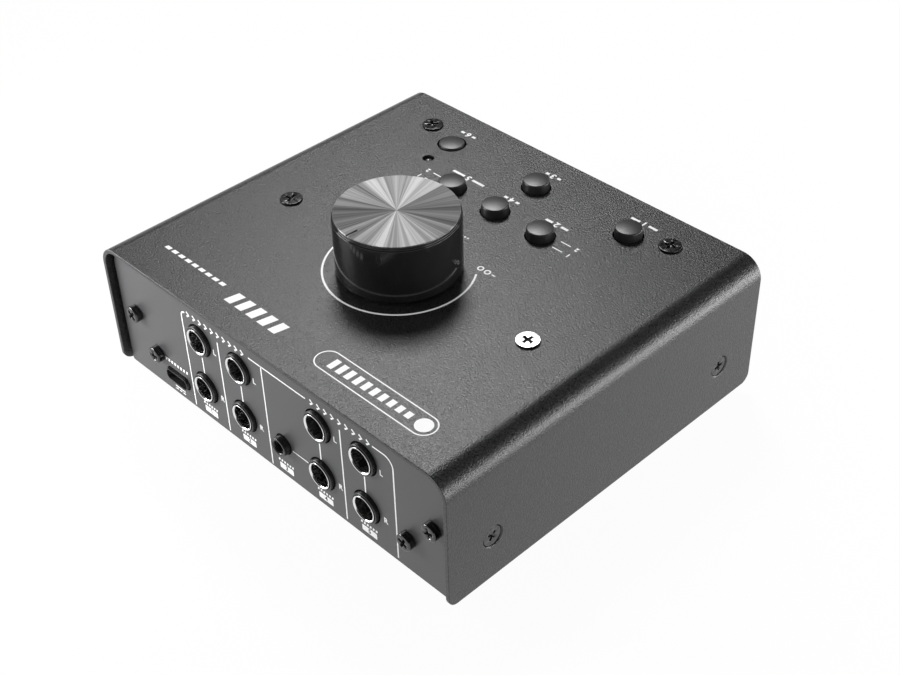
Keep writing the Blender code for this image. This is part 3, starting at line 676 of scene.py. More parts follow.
def joined_mesh(made, others):
    """Take the meshes of other objects, with their finishes, into one object."""
    for other in others:
        other.data.transform(other.matrix_world)
    shape = bmesh.new()
    slots = []
    for part in (made, *others):
        first = len(shape.faces)
        shape.from_mesh(part.data)
        shape.faces.ensure_lookup_table()
        for face in shape.faces[first:]:
            face.material_index += len(slots)
        slots.extend(part.data.materials)
    for other in others:
        bpy.data.objects.remove(other)
    shape.to_mesh(made.data)
    shape.free()
    made.data.materials.clear()
    for material in slots:
        made.data.materials.append(material)
    return smoothed(made)


# Case
def channel(bend, sheet):
    """The section of the cover, from its shut top to its free edges."""
    low = case_low - OVERRUN
    right = (half_width - bend, top - bend)
    left = (bend - half_width, top - bend)
    outer = arc(right, bend, 0, 1) + arc(left, bend, 1, 1)
    inner = arc(left, bend - sheet, 2, -1) + arc(right, bend - sheet, 1, -1)
    return (
        outer
        + [(-half_width, low), (sheet - half_width, low)]
        + inner
        + [(half_width - sheet, low), (half_width, low)]
    )


def build_cover(looks):
    """The folded sheet, cut to its side view, with its round and countersunk holes."""
    section = channel(looks.bend, looks.sheet)
    cover = prism("folded_cover", section, -half_depth - OVERRUN, half_depth + OVERRUN, SECTION)
    side_view = rounded((-half_depth, case_low), (half_depth, top + OVERRUN), WALL_CORNER, OVERRUN / 2)
    reach = half_width + OVERRUN
    carved(cover, prism("trim", side_view, -reach, reach, SIDE_VIEW), "INTERSECT")
    cap_hole = radius_of("button_1") * looks.button_share + HOLE_CLEARANCE
    holes = [(cap_hole, f"button_{number}") for number in BUTTONS]
    holes += [(SCREW_HOLE, node) for node in TOP_SCREWS]
    holes += [(looks.lamp_radius + LAMP_CLEARANCE, "indicator_lamp"), (SHAFT_HOLE, "volume_pot")]
    drills = [drill(radius, over(node, top - 3 * MM), over(node, top + OVERRUN)) for radius, node in holes]
    sink = (
        (0, OVERRUN), (SINK_RADIUS, OVERRUN), (SINK_RADIUS, 0),
        (SINK_FLOOR, -FLUSH_DROP - 0.1 * MM), (SINK_FLOOR, -FLUSH_DROP - 0.25 * MM),
        (SCREW_HOLE, -2 * MM), (SCREW_HOLE, -3.5 * MM), (0, -3.5 * MM),
    )
    for node in SIDE_SCREWS:
        place = middle_of(node)
        side = math.copysign(1, place.x)
        matrix = Matrix.Translation((side * half_width, place.y, place.z)) @ facing((side, 0, 0))
        drills.append(turned("sink", sink, ROUND, matrix))
    carved(cover, in_one(drills), ease=EDGE_ROUND)
    placed(cover, "powder_coat", ["cover"])


def build_panels(looks):
    """The socket panel and the plain one, cut for their screws and sockets."""
    panels = (("rear_panel", "socket_panel", REAR_SCREWS), ("front_panel", "plain_panel", FRONT_SCREWS))
    for node, name, screws in panels:
        low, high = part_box(node)
        outline = rounded((low.x, low.z), (high.x, high.z), PANEL_LOW_CORNER, looks.bend - looks.sheet)
        panel = prism(name, outline, -high.y, -low.y, SECTION)
        near = low.y - OVERRUN
        far = high.y + OVERRUN
        holes = [(SCREW_HOLE, middle_of(screw)) for screw in screws]
        if node == "rear_panel":
            holes += [(JACK_NOSE + HOLE_CLEARANCE, middle_of(ring)) for ring in RINGS]
            holes.append((AUX_NOSE + HOLE_CLEARANCE, aux_place()))
        drills = [drill(radius, (at.x, near, at.z), (at.x, far, at.z)) for radius, at in holes]
        if node == "rear_panel":
            drills.append(prism("slot", usb_outline(USB_MARGIN), -far, -near, SECTION))
        carved(panel, in_one(drills), ease=EDGE_ROUND)
        placed(panel, "panel_paint", [node])


def build_feet(looks):
    """Four turned feet, narrower where they stand."""
    for node in numbered("foot", 4):
        low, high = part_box(node)
        radius = radius_of(node)
        height = high.z - low.z
        profile = (
            (0, height), (radius, height), (radius - 0.6 * MM, 0.1 * MM), (radius - 1.4 * MM, 0), (0, 0),
        )
        foot = turned("rubber_" + node, softened(profile, 0.5 * MM))
        foot.location = over(node, low.z)
        placed(foot, "foot_rubber", [node])


# Fasteners
def cross_cutter(arm, half, depth, level):
    """A tapering cross recess, from above the head down to its depth."""
    quarter = [(arm, -half), (arm, half), (half, half), (half, arm), (-half, arm), (-half, half)]
    outline = quarter + [(-x, -y) for x, y in quarter]
    ends = ((level - depth, 0.5), (level + 0.2 * MM, 1.08))
    shape = bmesh.new()
    capped(shape, *[[(x * share, y * share, height) for x, y in outline] for height, share in ends])
    return new_object("recess", shape)


def threaded(start):
    """A thread's profile: crests and roots down the shank, as rings."""
    points = []
    for turn in range(int(THREAD_LENGTH / THREAD_PITCH)):
        level = start - turn * THREAD_PITCH
        crest = [(THREAD_RADIUS, level), (THREAD_RADIUS, level - 0.15 * MM)]
        points += crest + [(THREAD_RADIUS * 0.84, level - 0.33 * MM)]
    foot = start - THREAD_LENGTH
    return points + [(THREAD_RADIUS * 0.7, foot), (0, foot)]


def screw_form(name, head, depth, arm=1.6 * MM, half=0.42 * MM):
    """A screw whose head profile is given, its seat at zero and a cross recess in the head."""
    screw = turned(name, head + threaded(head[-1][1] - 0.1 * MM), SMALL)
    return carved(screw, cross_cutter(arm, half, depth, head[0][1]), ease=0.05 * MM)


def raised_head(height, radius, ease):
    """The profile of a head that stands on its seat, down to the neck."""
    return softened(((0, height), (radius, height), (radius, 0)), ease) + [(NECK_RADIUS, 0)]


def build_fasteners(looks):
    """Three forms of screw, copied to every place where one shows."""
    pan = raised_head(PAN_HEIGHT, 2.4 * MM, 0.45 * MM)
    wafer = raised_head(WAFER_HEIGHT, 3.1 * MM, 0.34 * MM)
    flush = softened(mm((0, 0), (2.8, 0), (2.8, -0.2), (1.5, -1.5)), 0.1 * MM)
    forms = {
        "pan": screw_form("pan", pan, 1.2 * MM),
        "wafer": screw_form("wafer", wafer, 0.75 * MM, 1.75 * MM, 0.5 * MM),
        "flush": screw_form("flush", flush, 0.9 * MM),
    }
    places = []
    for node in TOP_SCREWS:
        places.append(("wafer", node, over(node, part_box(node)[1].z - WAFER_HEIGHT), (0, 0, 1)))
    for node in SIDE_SCREWS:
        middle = middle_of(node)
        side = math.copysign(1, middle.x)
        seat = (side * (half_width - FLUSH_DROP), middle.y, middle.z)
        places.append(("flush", node, seat, (side, 0, 0)))
    for end, nodes in ((1, REAR_SCREWS), (-1, FRONT_SCREWS)):
        for node in nodes:
            low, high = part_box(node)
            middle = (low + high) / 2
            level = high.y - PAN_HEIGHT if end > 0 else low.y + PAN_HEIGHT
            places.append(("pan", node, (middle.x, level, middle.z), (0, end, 0)))
    for turn, (form, node, place, axis) in zip(SCREW_TURNS, places):
        matrix = facing(axis) @ Matrix.Rotation(turn, 4, "Z")
        screw = evened(copy_at(forms[form], "fine_" + node, place, matrix))
        if node == REFLECTION_PAINTED_SCREW:
            screw.data = screw.data.copy()
            screw.data.materials.clear()
            painted(screw, "black_screw")
            painted(screw, "bright_screw")
            # The head's top face takes the bright finish: a painted reflection of the lamp above.
            for face in screw.data.polygons:
                face.material_index = int(face.normal.z > 0.9 and face.center.z > 0.38 * MM)
        placed(screw, "black_screw", [node])
    for form in forms.values():
        bpy.data.objects.remove(form)


# Knob, buttons and lamp
def build_knob(looks):
    """The hollow gloss body, its step, and the spun disc on the step with the pointer cut into it."""
    low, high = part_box("knob_body")
    radius = radius_of("knob_body")
    disc_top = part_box("knob_disc")[1].z
    disc_radius = radius_of("knob_disc") - DISC_GAP
    step_radius = disc_radius + DISC_GAP
    step_top = disc_top - low.z - looks.disc_skin
    shoulder = high.z - low.z
    inner = radius - KNOB_WALL
    web = shoulder - KNOB_WEB
    outline = softened((
        (0, step_top), (step_radius, step_top), (step_radius, shoulder), (radius, shoulder), (radius, 0),
        (inner, 0), (inner, web), (HUB_RADIUS, web), (HUB_RADIUS, HUB_FOOT), (0, HUB_FOOT),
    ), 0.2 * MM)
    body = turned("gloss_knob", outline, FINE)
    body.location = over("knob_body", low.z)
    placed(body, "knob_black", ["knob_body"], "volume_knob")
    thick = looks.disc_skin - 0.02 * MM
    lands = [(0, thick)]
    ring = DISC_LANDS
    while ring < disc_radius - 0.4 * MM:
        lands += [(ring, thick), (ring + 0.12 * MM, thick - 0.012 * MM), (ring + 0.24 * MM, thick)]
        ring += DISC_LANDS
    lands += [(disc_radius - 0.12 * MM, thick), (disc_radius, thick - 0.09 * MM), (disc_radius, 0), (0, 0)]
    disc = turned("spun_disc", lands, FINE)
    start = (disc_radius - POINTER_LENGTH, -POINTER_HALF)
    notch = rounded(start, (disc_radius + 1 * MM, POINTER_HALF), 0.3 * MM, 0.3 * MM)
    carved(disc, prism("notch", notch, -OVERRUN, OVERRUN, Matrix.Rotation(looks.pointer, 4, "Z")))
    disc.location = over("knob_body", disc_top - thick)
    placed(disc, "spun_aluminium", ["knob_disc"], "volume_knob")


def build_buttons(looks):
    """One turned cap with a rounded crown, a flange and a stem, set in each hole."""
    low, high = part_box("button_1")
    flange = radius_of("button_1")
    radius = flange * looks.button_share
    height = high.z - low.z
    under = high.z - top + SHEET + HOLE_CLEARANCE
    foot = under + FLANGE_HEIGHT
    brim = radius - CAP_INSET
    crown = []
    for step in range(CROWN_STEPS + 1):
        crown.append((brim * step / CROWN_STEPS, -CAP_EDGE * (step / CROWN_STEPS) ** 2))
    profile = crown + softened((
        crown[-1], (brim + CAP_EDGE, -2 * CAP_EDGE), (radius, -CAP_SKIRT), (radius, -under),
        (flange, -under), (flange, -foot), (STEM_RADIUS, -foot), (STEM_RADIUS, -height), (0, -height),
    ), 0.25 * MM)[1:]
    form = painted(turned("cap", profile), "button_black")
    for number in BUTTONS:
        node = f"button_{number}"
        cap = copy_at(form, f"cap_{number}", over(node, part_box(node)[1].z))
        placed(cap, "button_black", [node], "push_" + node)
    bpy.data.objects.remove(form)


def build_indicator(looks):
    """A clear lamp with a domed end and a flange, sunk a little in its hole."""
    low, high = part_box("indicator_lamp")
    radius = looks.lamp_radius
    height = high.z - low.z
    angles = [math.pi / 2 * step / DOME_STEPS for step in range(DOME_STEPS + 1)]
    dome = [(radius * math.sin(a), height - radius * (1 - math.cos(a))) for a in angles]
    lamp = turned("clear_lamp", dome + [(radius, 1 * MM), (LAMP_FLANGE, 1 * MM), (LAMP_FLANGE, 0), (0, 0)])
    lamp.location = over("indicator_lamp", low.z)
    placed(lamp, "clear_resin", ["indicator_lamp"])


# Sockets
def aux_place():
    """The axis of the small socket's bore."""
    low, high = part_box("small_socket")
    return Vector(((low.x + high.x) / 2, 0, high.z - AUX_DROP))


def usb_outline(margin):
    """The power socket's outline in the panel's plane, wider all round by the margin."""
    low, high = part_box("power_socket")
    corner = USB_CORNER + margin
    low_point = (low.x - margin, low.z - margin)
    high_point = (high.x + margin, high.z + margin)
    return rounded(low_point, high_point, corner, corner)


def contact_spring(side, level, mouth):
    """A bowed leaf at one side of a bore."""
    leaf = []
    for step in range(SPRING_STEPS + 1):
        share = step / SPRING_STEPS
        bow = math.sin(math.pi * share) ** 2
        leaf.append((side * (JACK_BORE - 0.1 * MM - bow * 0.8 * MM), mouth - 9 * MM - share * 12 * MM))
    strip = bmesh.new()
    for near, far in zip(leaf, leaf[1:]):
        corners = [(x, y, level + z) for x, y in (near, far) for z in (-0.8 * MM, 0.8 * MM)]
        a, b, c, d = [strip.verts.new(corner) for corner in corners]
        strip.faces.new((a, b, d, c))
    bmesh.ops.remove_doubles(strip, verts=strip.verts, dist=0.001 * MM)
    bmesh.ops.solidify(strip, geom=strip.faces[:], thickness=0.25 * MM)
    return painted(new_object("leaf", strip), "contact_brass")


def build_jack_pairs():
    """Four black housings of two sockets, each with its nose, sleeve and contact springs."""
    ring_low, ring_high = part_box("jack_ring_1_1")
    low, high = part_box("jack_housing_1")
    levels = [middle_of(f"jack_ring_1_{row}").z for row in ROWS]
    front = ring_high.y - 0.25 * MM
    base = low.y + JACK_STEP
    nose_base = low.y + 2.4 * MM
    tube_top = ring_low.y - 0.2 * MM
    floor_level = low.y + 3.2 * MM
    block_end = rear_back - HOLE_CLEARANCE
    half = (high.x - low.x) / 2
    block = rounded((-half, low.z), (half, high.z), 0.3 * MM, 0.3 * MM)
    body = prism("body", block, -block_end, -low.y, SECTION)
    bores = [drill(JACK_NOSE - 0.4 * MM, (0, base, level), (0, high.y, level)) for level in levels]
    carved(body, in_one(bores), ease=EDGE_ROUND)
    body.modifiers.clear()
    painted(body, "socket_plastic")
    nose = softened((
        (JACK_RING + 0.15 * MM, nose_base), (JACK_RING + 0.15 * MM, front), (JACK_NOSE, front),
        (JACK_NOSE, block_end - 1 * MM), (JACK_NOSE - 0.2 * MM, nose_base),
    ), 0.35 * MM, closed=True)
    outer = JACK_RING + 0.2 * MM
    tube = ((JACK_BORE, tube_top), (outer, tube_top), (outer, base), (JACK_BORE, base))
    floor = ((0, floor_level), (JACK_BORE + 0.4 * MM, floor_level))
    extras = []
    for level in levels:
        matrix = Matrix.Translation((0, 0, level)) @ facing((0, 1, 0))
        for profile, sides, closed in ((nose, ROUND, True), (tube, SMALL, True), (floor, SMALL, False)):
            extras.append(painted(turned("lining", profile, sides, matrix, closed), "socket_plastic"))
        extras += [contact_spring(side, level, high.y) for side in (-1, 1)]
    joined_mesh(body, extras)
    for column in COLUMNS:
        x = middle_of(f"jack_ring_{column}_1").x
        pair = copy_at(body, f"jack_pair_{column}", (x, 0, 0))
        placed(pair, "socket_plastic", [f"jack_housing_{column}"])
    bpy.data.objects.remove(body)


def build_jacks(looks):
    """The housings, and the metal rings in their noses, each with a slotted bore."""
    build_jack_pairs()
    low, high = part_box("jack_ring_1_1")
    length = high.y - low.y
    profile = softened((
        (JACK_BORE + 0.25 * MM, length), (JACK_RING, length), (JACK_RING, 0), (JACK_BORE, 0),
        (JACK_BORE, length - 0.3 * MM),
    ), 0.09 * MM, closed=True)
    ring = turned("ring", profile, FINE, closed=True)
    slot = mm((0, -0.45), (5, -0.45), (5, 0.45), (0, 0.45))
    turns = [Matrix.Rotation(math.radians(angle), 4, "Z") for angle in (35, 125, 245)]
    carved(ring, in_one([prism("slot", slot, 1 * MM, length - 1.1 * MM, turn) for turn in turns]))
    painted(ring, "bright_metal")
    for node in RINGS:
        middle = middle_of(node)
        place = (middle.x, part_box(node)[0].y, middle.z)
        made = copy_at(ring, node.replace("jack", "metal"), place, facing((0, 1, 0)))
        placed(evened(made), "bright_metal", [node])
    bpy.data.objects.remove(ring)


def build_small_jack():
    """The round socket with its long nose."""
    low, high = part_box("small_socket")
    place = aux_place()
    base = low.y + 1 * MM
    block = rounded((low.x, low.z), (high.x, high.z), 0.2 * MM, 0.2 * MM)
    body = prism("small_jack", block, HOLE_CLEARANCE - rear_back, -low.y, SECTION)
    bore = drill(AUX_BORE + 0.4 * MM, (place.x, base, place.z), (place.x, high.y, place.z), SMALL)
    carved(body, bore, ease=0.1 * MM)
    body.modifiers.clear()
    painted(body, "socket_plastic")
    nose = softened((
        (AUX_BORE, base), (AUX_BORE, high.y - 0.35 * MM), (AUX_BORE + 0.35 * MM, high.y),
        (AUX_NOSE, high.y), (AUX_NOSE, rear_back - 1 * MM), (AUX_BORE + 0.5 * MM, base),
    ), 0.22 * MM, closed=True)
    inner, outer = AUX_BORE - 0.15 * MM, AUX_BORE + 0.05 * MM
    near, far = high.y - 1 * MM, high.y - 4 * MM
    collar = ((inner, near), (outer, near), (outer, far), (inner, far))
    floor = ((0, low.y + 1.6 * MM), (AUX_BORE + 0.2 * MM, low.y + 1.6 * MM))
    matrix = Matrix.Translation(place) @ facing((0, 1, 0))
    joined_mesh(body, [
        painted(turned("nose", nose, ROUND, matrix, closed=True), "socket_plastic"),
        painted(turned("collar", collar, SMALL, matrix, closed=True), "bright_metal"),
        painted(turned("floor", floor, SMALL, matrix), "socket_plastic"),
    ])
    placed(body, "socket_plastic", ["small_socket"])


def build_power_socket():
    """The flat socket: a drawn shell, its tongue and two rows of contacts; the shell is black but for its
    front rim, as painted shade in the mouth.
    """
    low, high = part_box("power_socket")
    middle = (low + high) / 2
    shell = prism("power_shell", usb_outline(0), -high.y, -low.y, SECTION)
    hollow = prism("hollow", usb_outline(-USB_WALL), -high.y - 1 * MM, -low.y - 0.4 * MM, SECTION)
    carved(shell, hollow, ease=0.07 * MM)
    shell.modifiers.clear()
    # The shell's walls take the black finish as painted shade in the mouth; only the faces at the front
    # rim take the metal.
    painted(shell, "socket_plastic")
    painted(shell, "socket_metal")
    for face in shell.data.polygons:
        face.material_index = int(face.center.y > high.y - 0.12 * MM)
    reach, half = 3.3 * MM, 0.35 * MM
    corners = (middle.x - reach, middle.z - half), (middle.x + reach, middle.z + half)
    outline = rounded(*corners, 0.2 * MM, 0.2 * MM)
    tongue = prism("tongue", outline, -high.y + 1.2 * MM, -low.y - 0.5 * MM, SECTION)
    pads = bmesh.new()
    for count in range(12):
        left = middle.x + (count - 5.75) * 0.5 * MM
        right = left + 0.25 * MM
        for side in (-1, 1):
            level = middle.z + side * 0.36 * MM
            lower, upper = level - 0.02 * MM, level + 0.02 * MM
            outline = ((left, lower), (right, lower), (right, upper), (left, upper))
            prism_into(pads, outline, -high.y + 1.6 * MM, -high.y + 4.5 * MM, SECTION)
    contacts = painted(new_object("pads", pads), "contact_brass")
    joined_mesh(shell, [painted(tongue, "black_plastic"), contacts])
    placed(shell, "socket_metal", ["power_socket"])


def build_small_sockets(looks):
    build_small_jack()
    build_power_socket()


def build_inside(looks):
    """The solids that stay: each gets its finish."""
    finishes = {
        "chassis": "plated_steel", "pot_nut": "plated_steel", "pot_shaft": "plated_steel",
        "socket_board_screw_1": "plated_steel", "socket_board_screw_2": "plated_steel",
        "main_board": "circuit_board", "socket_board": "circuit_board", "board_cable": "grey_cable",
        "volume_pot": "black_plastic", "lamp_spacer": "black_plastic",
    }
    finishes.update({f"switch_body_{number}": "black_plastic" for number in BUTTONS})
    for node, finish in finishes.items():
        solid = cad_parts[node]
        solid.data.materials.clear()
        painted(solid, finish)


# Printed marks, in millimetres from the middle of the top or from the foot of the socket panel
SCALE_START = 215 / 90
SCALE_SWEEP = -250 / 90
SCALE_STEPS = 150
TITLE_FRAME = (-51, 42.95), (-11.6, 49.6)
TITLE_BARS_LOW = 44.6
# button: (across, up, width of its label)
BUTTON_LABELS = {
    1: (-32.6, -48.4, 8.6), 2: (-16.2, -32.3, 7.6), 3: (0.3, -49, 5.2), 4: (0.5, -32.6, 5.2),
    5: (16.6, -32.2, 11.6), 6: (32.8, -48.4, 5.4),
}
BADGES = (-29.2, -13.1, 1.9, 17.05, 33.0)
GROUP_TOP = 32.9
CHEVRON_LEVEL = 32.95
CHEVRON_HALF = 0.75


def slanted(left, low, wide, high, lean=0):
    """A bar whose sides lean."""
    return mm((left, low), (left + wide, low), (left + wide + lean, low + high), (left + lean, low + high))


def capsule(low, high):
    """A rectangle whose short ends are half circles."""
    reach = (high[1] - low[1]) / 2
    level = low[1] + reach
    return arc((high[0] - reach, level), reach, -1, 2, 24) + arc((low[0] + reach, level), reach, 1, 2, 24)


class Print:
    """Ink on one face: closed flat shapes, raised by the ink's thickness."""

    def __init__(self, plane, lift=0.0):
        self.plane = plane @ Matrix.Translation((0, 0, lift))
        self.shape = bmesh.new()

    def patch(self, outline):
        prism_into(self.shape, outline, -INK_HEIGHT / 2, INK_HEIGHT, self.plane)

    def bars(self, count, left, pitch, *form):
        """A row of like bars."""
        for step in range(count):
            self.patch(slanted(left + step * pitch, *form))

    def line(self, points, width, closed=False):
        """A line of even width through points."""
        points = [Vector(point) for point in points]
        count = len(points)
        sides = []
        for index, point in enumerate(points):
            before = points[index - 1] if index or closed else point
            after = points[(index + 1) % count] if index < count - 1 or closed else point
            run = (after - before).normalized()
            across = Vector((-run.y, run.x)) * width / 2
            sides.append((point + across, point - across))
        pairs = list(zip(sides, sides[1:]))
        if closed:
            pairs.append((sides[-1], sides[0]))
        for near, far in pairs:
            self.patch((near[0], near[1], far[1], far[0]))

    def text(self, body, x, y, size):
        """Plain figures or single letters, centred on a place."""
        curve = bpy.data.curves.new("figure", "FONT")
        curve.body = body
        curve.size = size * MM
        curve.align_x = "CENTER"
        curve.align_y = "CENTER"
        curve.extrude = INK_HEIGHT * 0.75
        curve.offset = size * MM * 0.03
        drawn = linked("figure", curve)
        bpy.context.view_layer.update()
        graph = bpy.context.evaluated_depsgraph_get()
        mesh = bpy.data.meshes.new_from_object(drawn.evaluated_get(graph), depsgraph=graph)
        mesh.transform(self.plane @ Matrix.Translation((x * MM, y * MM, INK_HEIGHT / 4)))
        self.shape.from_mesh(mesh)
        bpy.data.objects.remove(drawn)

    def chevrons(self, start, stop):
        """A row of small arrow heads from start to stop across the socket panel."""
        count = max(2, round(abs(stop - start) / 2.2))
        for step in range(count):
            x = start + (stop - start) * step / (count - 1)
            low, high = CHEVRON_LEVEL - CHEVRON_HALF, CHEVRON_LEVEL + CHEVRON_HALF
            self.line(mm((x - 0.5, high), (x + 0.5, CHEVRON_LEVEL), (x - 0.5, low)), 0.55 * MM)

    def done(self, name, finish):
        mesh = bpy.data.meshes.new(name)
        bmesh.ops.remove_doubles(self.shape, verts=self.shape.verts, dist=0.0001 * MM)
        bmesh.ops.recalc_face_normals(self.shape, faces=self.shape.faces)
        self.shape.to_mesh(mesh)
        self.shape.free()
        placed(linked(name, mesh), finish)


def build_top_prints(looks):
    """Scale ring round the knob, marks beside the buttons and plain bars in the title's place."""
    ink = Print(TOP_PLANE)
    ring = arc(middle_of("knob_body"), looks.ring_radius, SCALE_START, SCALE_SWEEP, SCALE_STEPS)
    ink.line(ring, looks.ring_width)
    for left in (-18.3, -15.9):
        ink.line(arc((left * MM + 0.6 * MM, -4.6 * MM), 0.75 * MM, 0, 4, 20)[:-1], BROAD_LINE, closed=True)
    ink.line(mm((-20.4, -4.6), (-19.2, -4.6)), FINE_LINE)
    ink.text("0", 17.2, -4.6, 2.6)
    for step in range(8):
        ink.patch(slanted(-3.9 + step, -11.9, 0.55, 0.35 + step * 0.2))
    for number, (x, y, width) in BUTTON_LABELS.items():
        ink.text(str(number), x, y, 2.9)
        side = (width - 2.8) / 2
        for sign in (-1, 1):
            near = x + sign * 1.5
            ink.line(mm((near, y), (near + sign * side, y)), 0.85 * MM)
    for sign in (-1, 1):
        for number, y in ((1, -24.05), (2, -27.4)):
            ink.line(mm((sign * 22.1, y), (sign * 25.5, y)), FINE_LINE)
            ink.text(str(number), sign * 27.6, y, 2.1)
    low, high = mm(*TITLE_FRAME)
    end = (high[1] - low[1]) / 2
    ink.line(capsule(low, high), FINE_LINE, closed=True)
    ink.patch(arc((low[0] + end, low[1] + end), 2.3 * MM, 0, 4, 48)[:-1])
    for step in range(10):
        height = 2.1 + step * 0.16
        ink.patch(slanted(-43.6 + step * 2.85, 46.28 - height / 2, 1.7, height))
    ink.bars(5, 1.1, 4.3, TITLE_BARS_LOW, 2.6, 4.3, 0.9)
    ink.bars(9, 26, 2.85, TITLE_BARS_LOW, 1.9, 1.1, 0.25)
    ink.done("top_marks", "white_ink")


def build_rear_prints(looks):
    """Lines that group the sockets, side marks, arrow rows and numbered badges. Across is -X."""
    ink = Print(REAR_PLANE)
    ink.line(mm((-33.6, 0.9)) + arc((-32 * MM, 31.3 * MM), 1.6 * MM, 2, -1, 8), BROAD_LINE)
    for across, low, high in ((-18.9, 1.0, 30.5), (-1.3, 0.7, GROUP_TOP), (27.4, 1.2, 30.6)):
        ink.line(mm((across, low), (across, high)), BROAD_LINE)
    corner = arc((42.7 * MM, 29.9 * MM), 3 * MM, 0, 1, 12)
    ink.line(mm((45.7, 1.2)) + corner + mm((38.9, GROUP_TOP)), BROAD_LINE)
    ink.line(mm((-6.1, GROUP_TOP), (15.4, GROUP_TOP)), BROAD_LINE)
    ink.line(mm((7.9, 11.0), (13.9, 11.0)), FINE_LINE)
    for column in COLUMNS:
        across = -middle_of(f"jack_ring_{column}_1").x / MM
        ink.line(mm((across, 20.9), (across, 15.7)), BROAD_LINE)
        ink.text("L", across + 6.1, 26.0, 2.3)
        ink.text("R", across + 6.7, 10.9, 2.3)
    ink.chevrons(-30.6, -8.6)
    ink.chevrons(17.6, 37.4)
    dark = Print(REAR_PLANE, INK_HEIGHT)
    for number, left in enumerate(BADGES, 1):
        ink.patch(softened(slanted(left, 1.75, 5.3, 1.9), 0.35 * MM, closed=True))
        dark.text(str(number), left + 2.65, 2.7, 1.9)
        ink.bars(6, left - 0.4, 1.05, 4.15, 0.6, 0.75, 0.15)
    ink.bars(8, -45.4, 1.3, 10.0, 0.75, 0.95, 0.2)
    ink.line(mm((-42.6, 2.4), (-38.2, 2.4)), FINE_LINE)
    for left in (-42.6, -41.0, -39.4):
        ink.line(mm((left, 1.5), (left + 1.2, 1.5)), FINE_LINE)
    ink.done("rear_marks", "white_ink")
    dark.done("badge_figures", "dark_ink")


# Stage
CAMERA_PLACE = (-0.23028, 0.21069, 0.26538)
CAMERA_TURN = (226.519, 38.928, -1.618)
FOCAL_PIXELS = 1484.2
IMAGE_WIDTH = 900
SENSOR = 36
CLIP = (0.01, 20)
FLOOR_DROP = 0.1 * MM
FLOOR_SIZE = 6


def build_camera():
    """The photograph's view, as found from the case's straight edges."""
    azimuth, elevation, roll = [math.radians(angle) for angle in CAMERA_TURN]
    level = math.cos(elevation)
    back = Vector((math.sin(azimuth) * level, -math.cos(azimuth) * level, math.sin(elevation)))
    right = UP.cross(back).normalized()
    upward = back.cross(right)
    tilted = right * math.cos(roll) + upward * math.sin(roll)
    raised = upward * math.cos(roll) - right * math.sin(roll)
    data = bpy.data.cameras.new("photo_view")
    data.sensor_width = SENSOR
    data.lens = SENSOR * FOCAL_PIXELS / IMAGE_WIDTH
    data.clip_start, data.clip_end = CLIP
    camera = linked("photo_view", data)
    turn = Matrix((tilted, raised, back)).transposed().to_4x4()
    camera.matrix_world = Matrix.Translation(CAMERA_PLACE) @ turn
    bpy.context.scene.camera = camera


LAMPS = {
    # name: (azimuth from +X towards +Y, elevation, distance, width, height, watts)
    "far_strip": (-41, 50, 1.0, 0.26, 0.3, 5.4),
    "side_strip": (-143, -2, 0.28, 0.42, 0.06, 0.9),
    "rear_fill": (42, 6, 0.22, 0.1, 0.08, 0.5),
}


def build_lamps():
    for name, (azimuth, elevation, distance, width, height, watts) in LAMPS.items():
        turn = math.radians(azimuth)
        rise = math.radians(elevation)
        way = Vector((math.cos(turn) * math.cos(rise), math.sin(turn) * math.cos(rise), math.sin(rise)))
        data = bpy.data.lights.new(name, "AREA")
        data.shape = "RECTANGLE"
        data.size = width
        data.size_y = height
        data.energy = watts
        lamp = linked(name, data)
        lamp.visible_camera = False
        lamp.location = way * distance + Vector((0, 0, top))
        lamp.rotation_euler = way.to_track_quat("Z", "Y").to_euler()


def build_floor(looks):
    """A pale plane that shows white and keeps the soft shadow."""
    shape = bmesh.new()
    bmesh.ops.create_grid(shape, x_segments=8, y_segments=8, size=FLOOR_SIZE)
    floor = new_object("floor", shape)
    floor.location.z = -FLOOR_DROP
    made = Finish("pale_floor")
    made.paint(made.noise(40), grey(0.8), grey(0.83), 0.9)
    paper = Value(made.tree, made.shader.outputs[0])
    glow = made.node("Emission", Color=grey(1))
    both = made.node("MixShader", _0=made.seen() * looks.floor_white, _1=paper, _2=glow)
    connect(made.tree, both, made.tree.nodes["Material Output"].inputs["Surface"])
    floor.data.materials.append(made.material)


def build_world(looks):
    """White round the horizon and darker overhead where it is seen, and a plain level as light."""
    world = bpy.data.worlds.new("studio")
    bpy.context.scene.world = world
    world.use_nodes = True
    sky = NodeTree(world.node_tree)
    height = sky.node("SeparateXYZ", output=2, Vector=sky.node("TexCoord", output=0))
    shown = sky.node("ValToRGB", {"stops": ((0.06, 1), (0.26, looks.ceiling))}, Fac=height)
    strength = sky.seen() * (shown - looks.world_light) + looks.world_light
    backdrop = sky.tree.nodes["Background"]
    connect(sky.tree, grey(1), backdrop.inputs["Color"])
    connect(sky.tree, strength, backdrop.inputs["Strength"])


def build_stage(looks):
    build_camera()
    build_lamps()
    build_floor(looks)
    build_world(looks)
    bpy.context.scene.view_settings.view_transform = "Standard"


# Add-on
def run(build, context):
    """What each operator does: one builder, with the scene's looks."""
    build(context.scene.controller_looks)
    return {"FINISHED"}


def length_value(name, description, default):
    return bpy.props.FloatProperty(name=name, description=description, unit="LENGTH", default=default)


def colour_value(name, description, default):
    return bpy.props.FloatVectorProperty(
        name=name, description=description, subtype="COLOR", default=default)


def plain_value(name, description, default, **kind):
    return bpy.props.FloatProperty(name=name, description=description, default=default, **kind)


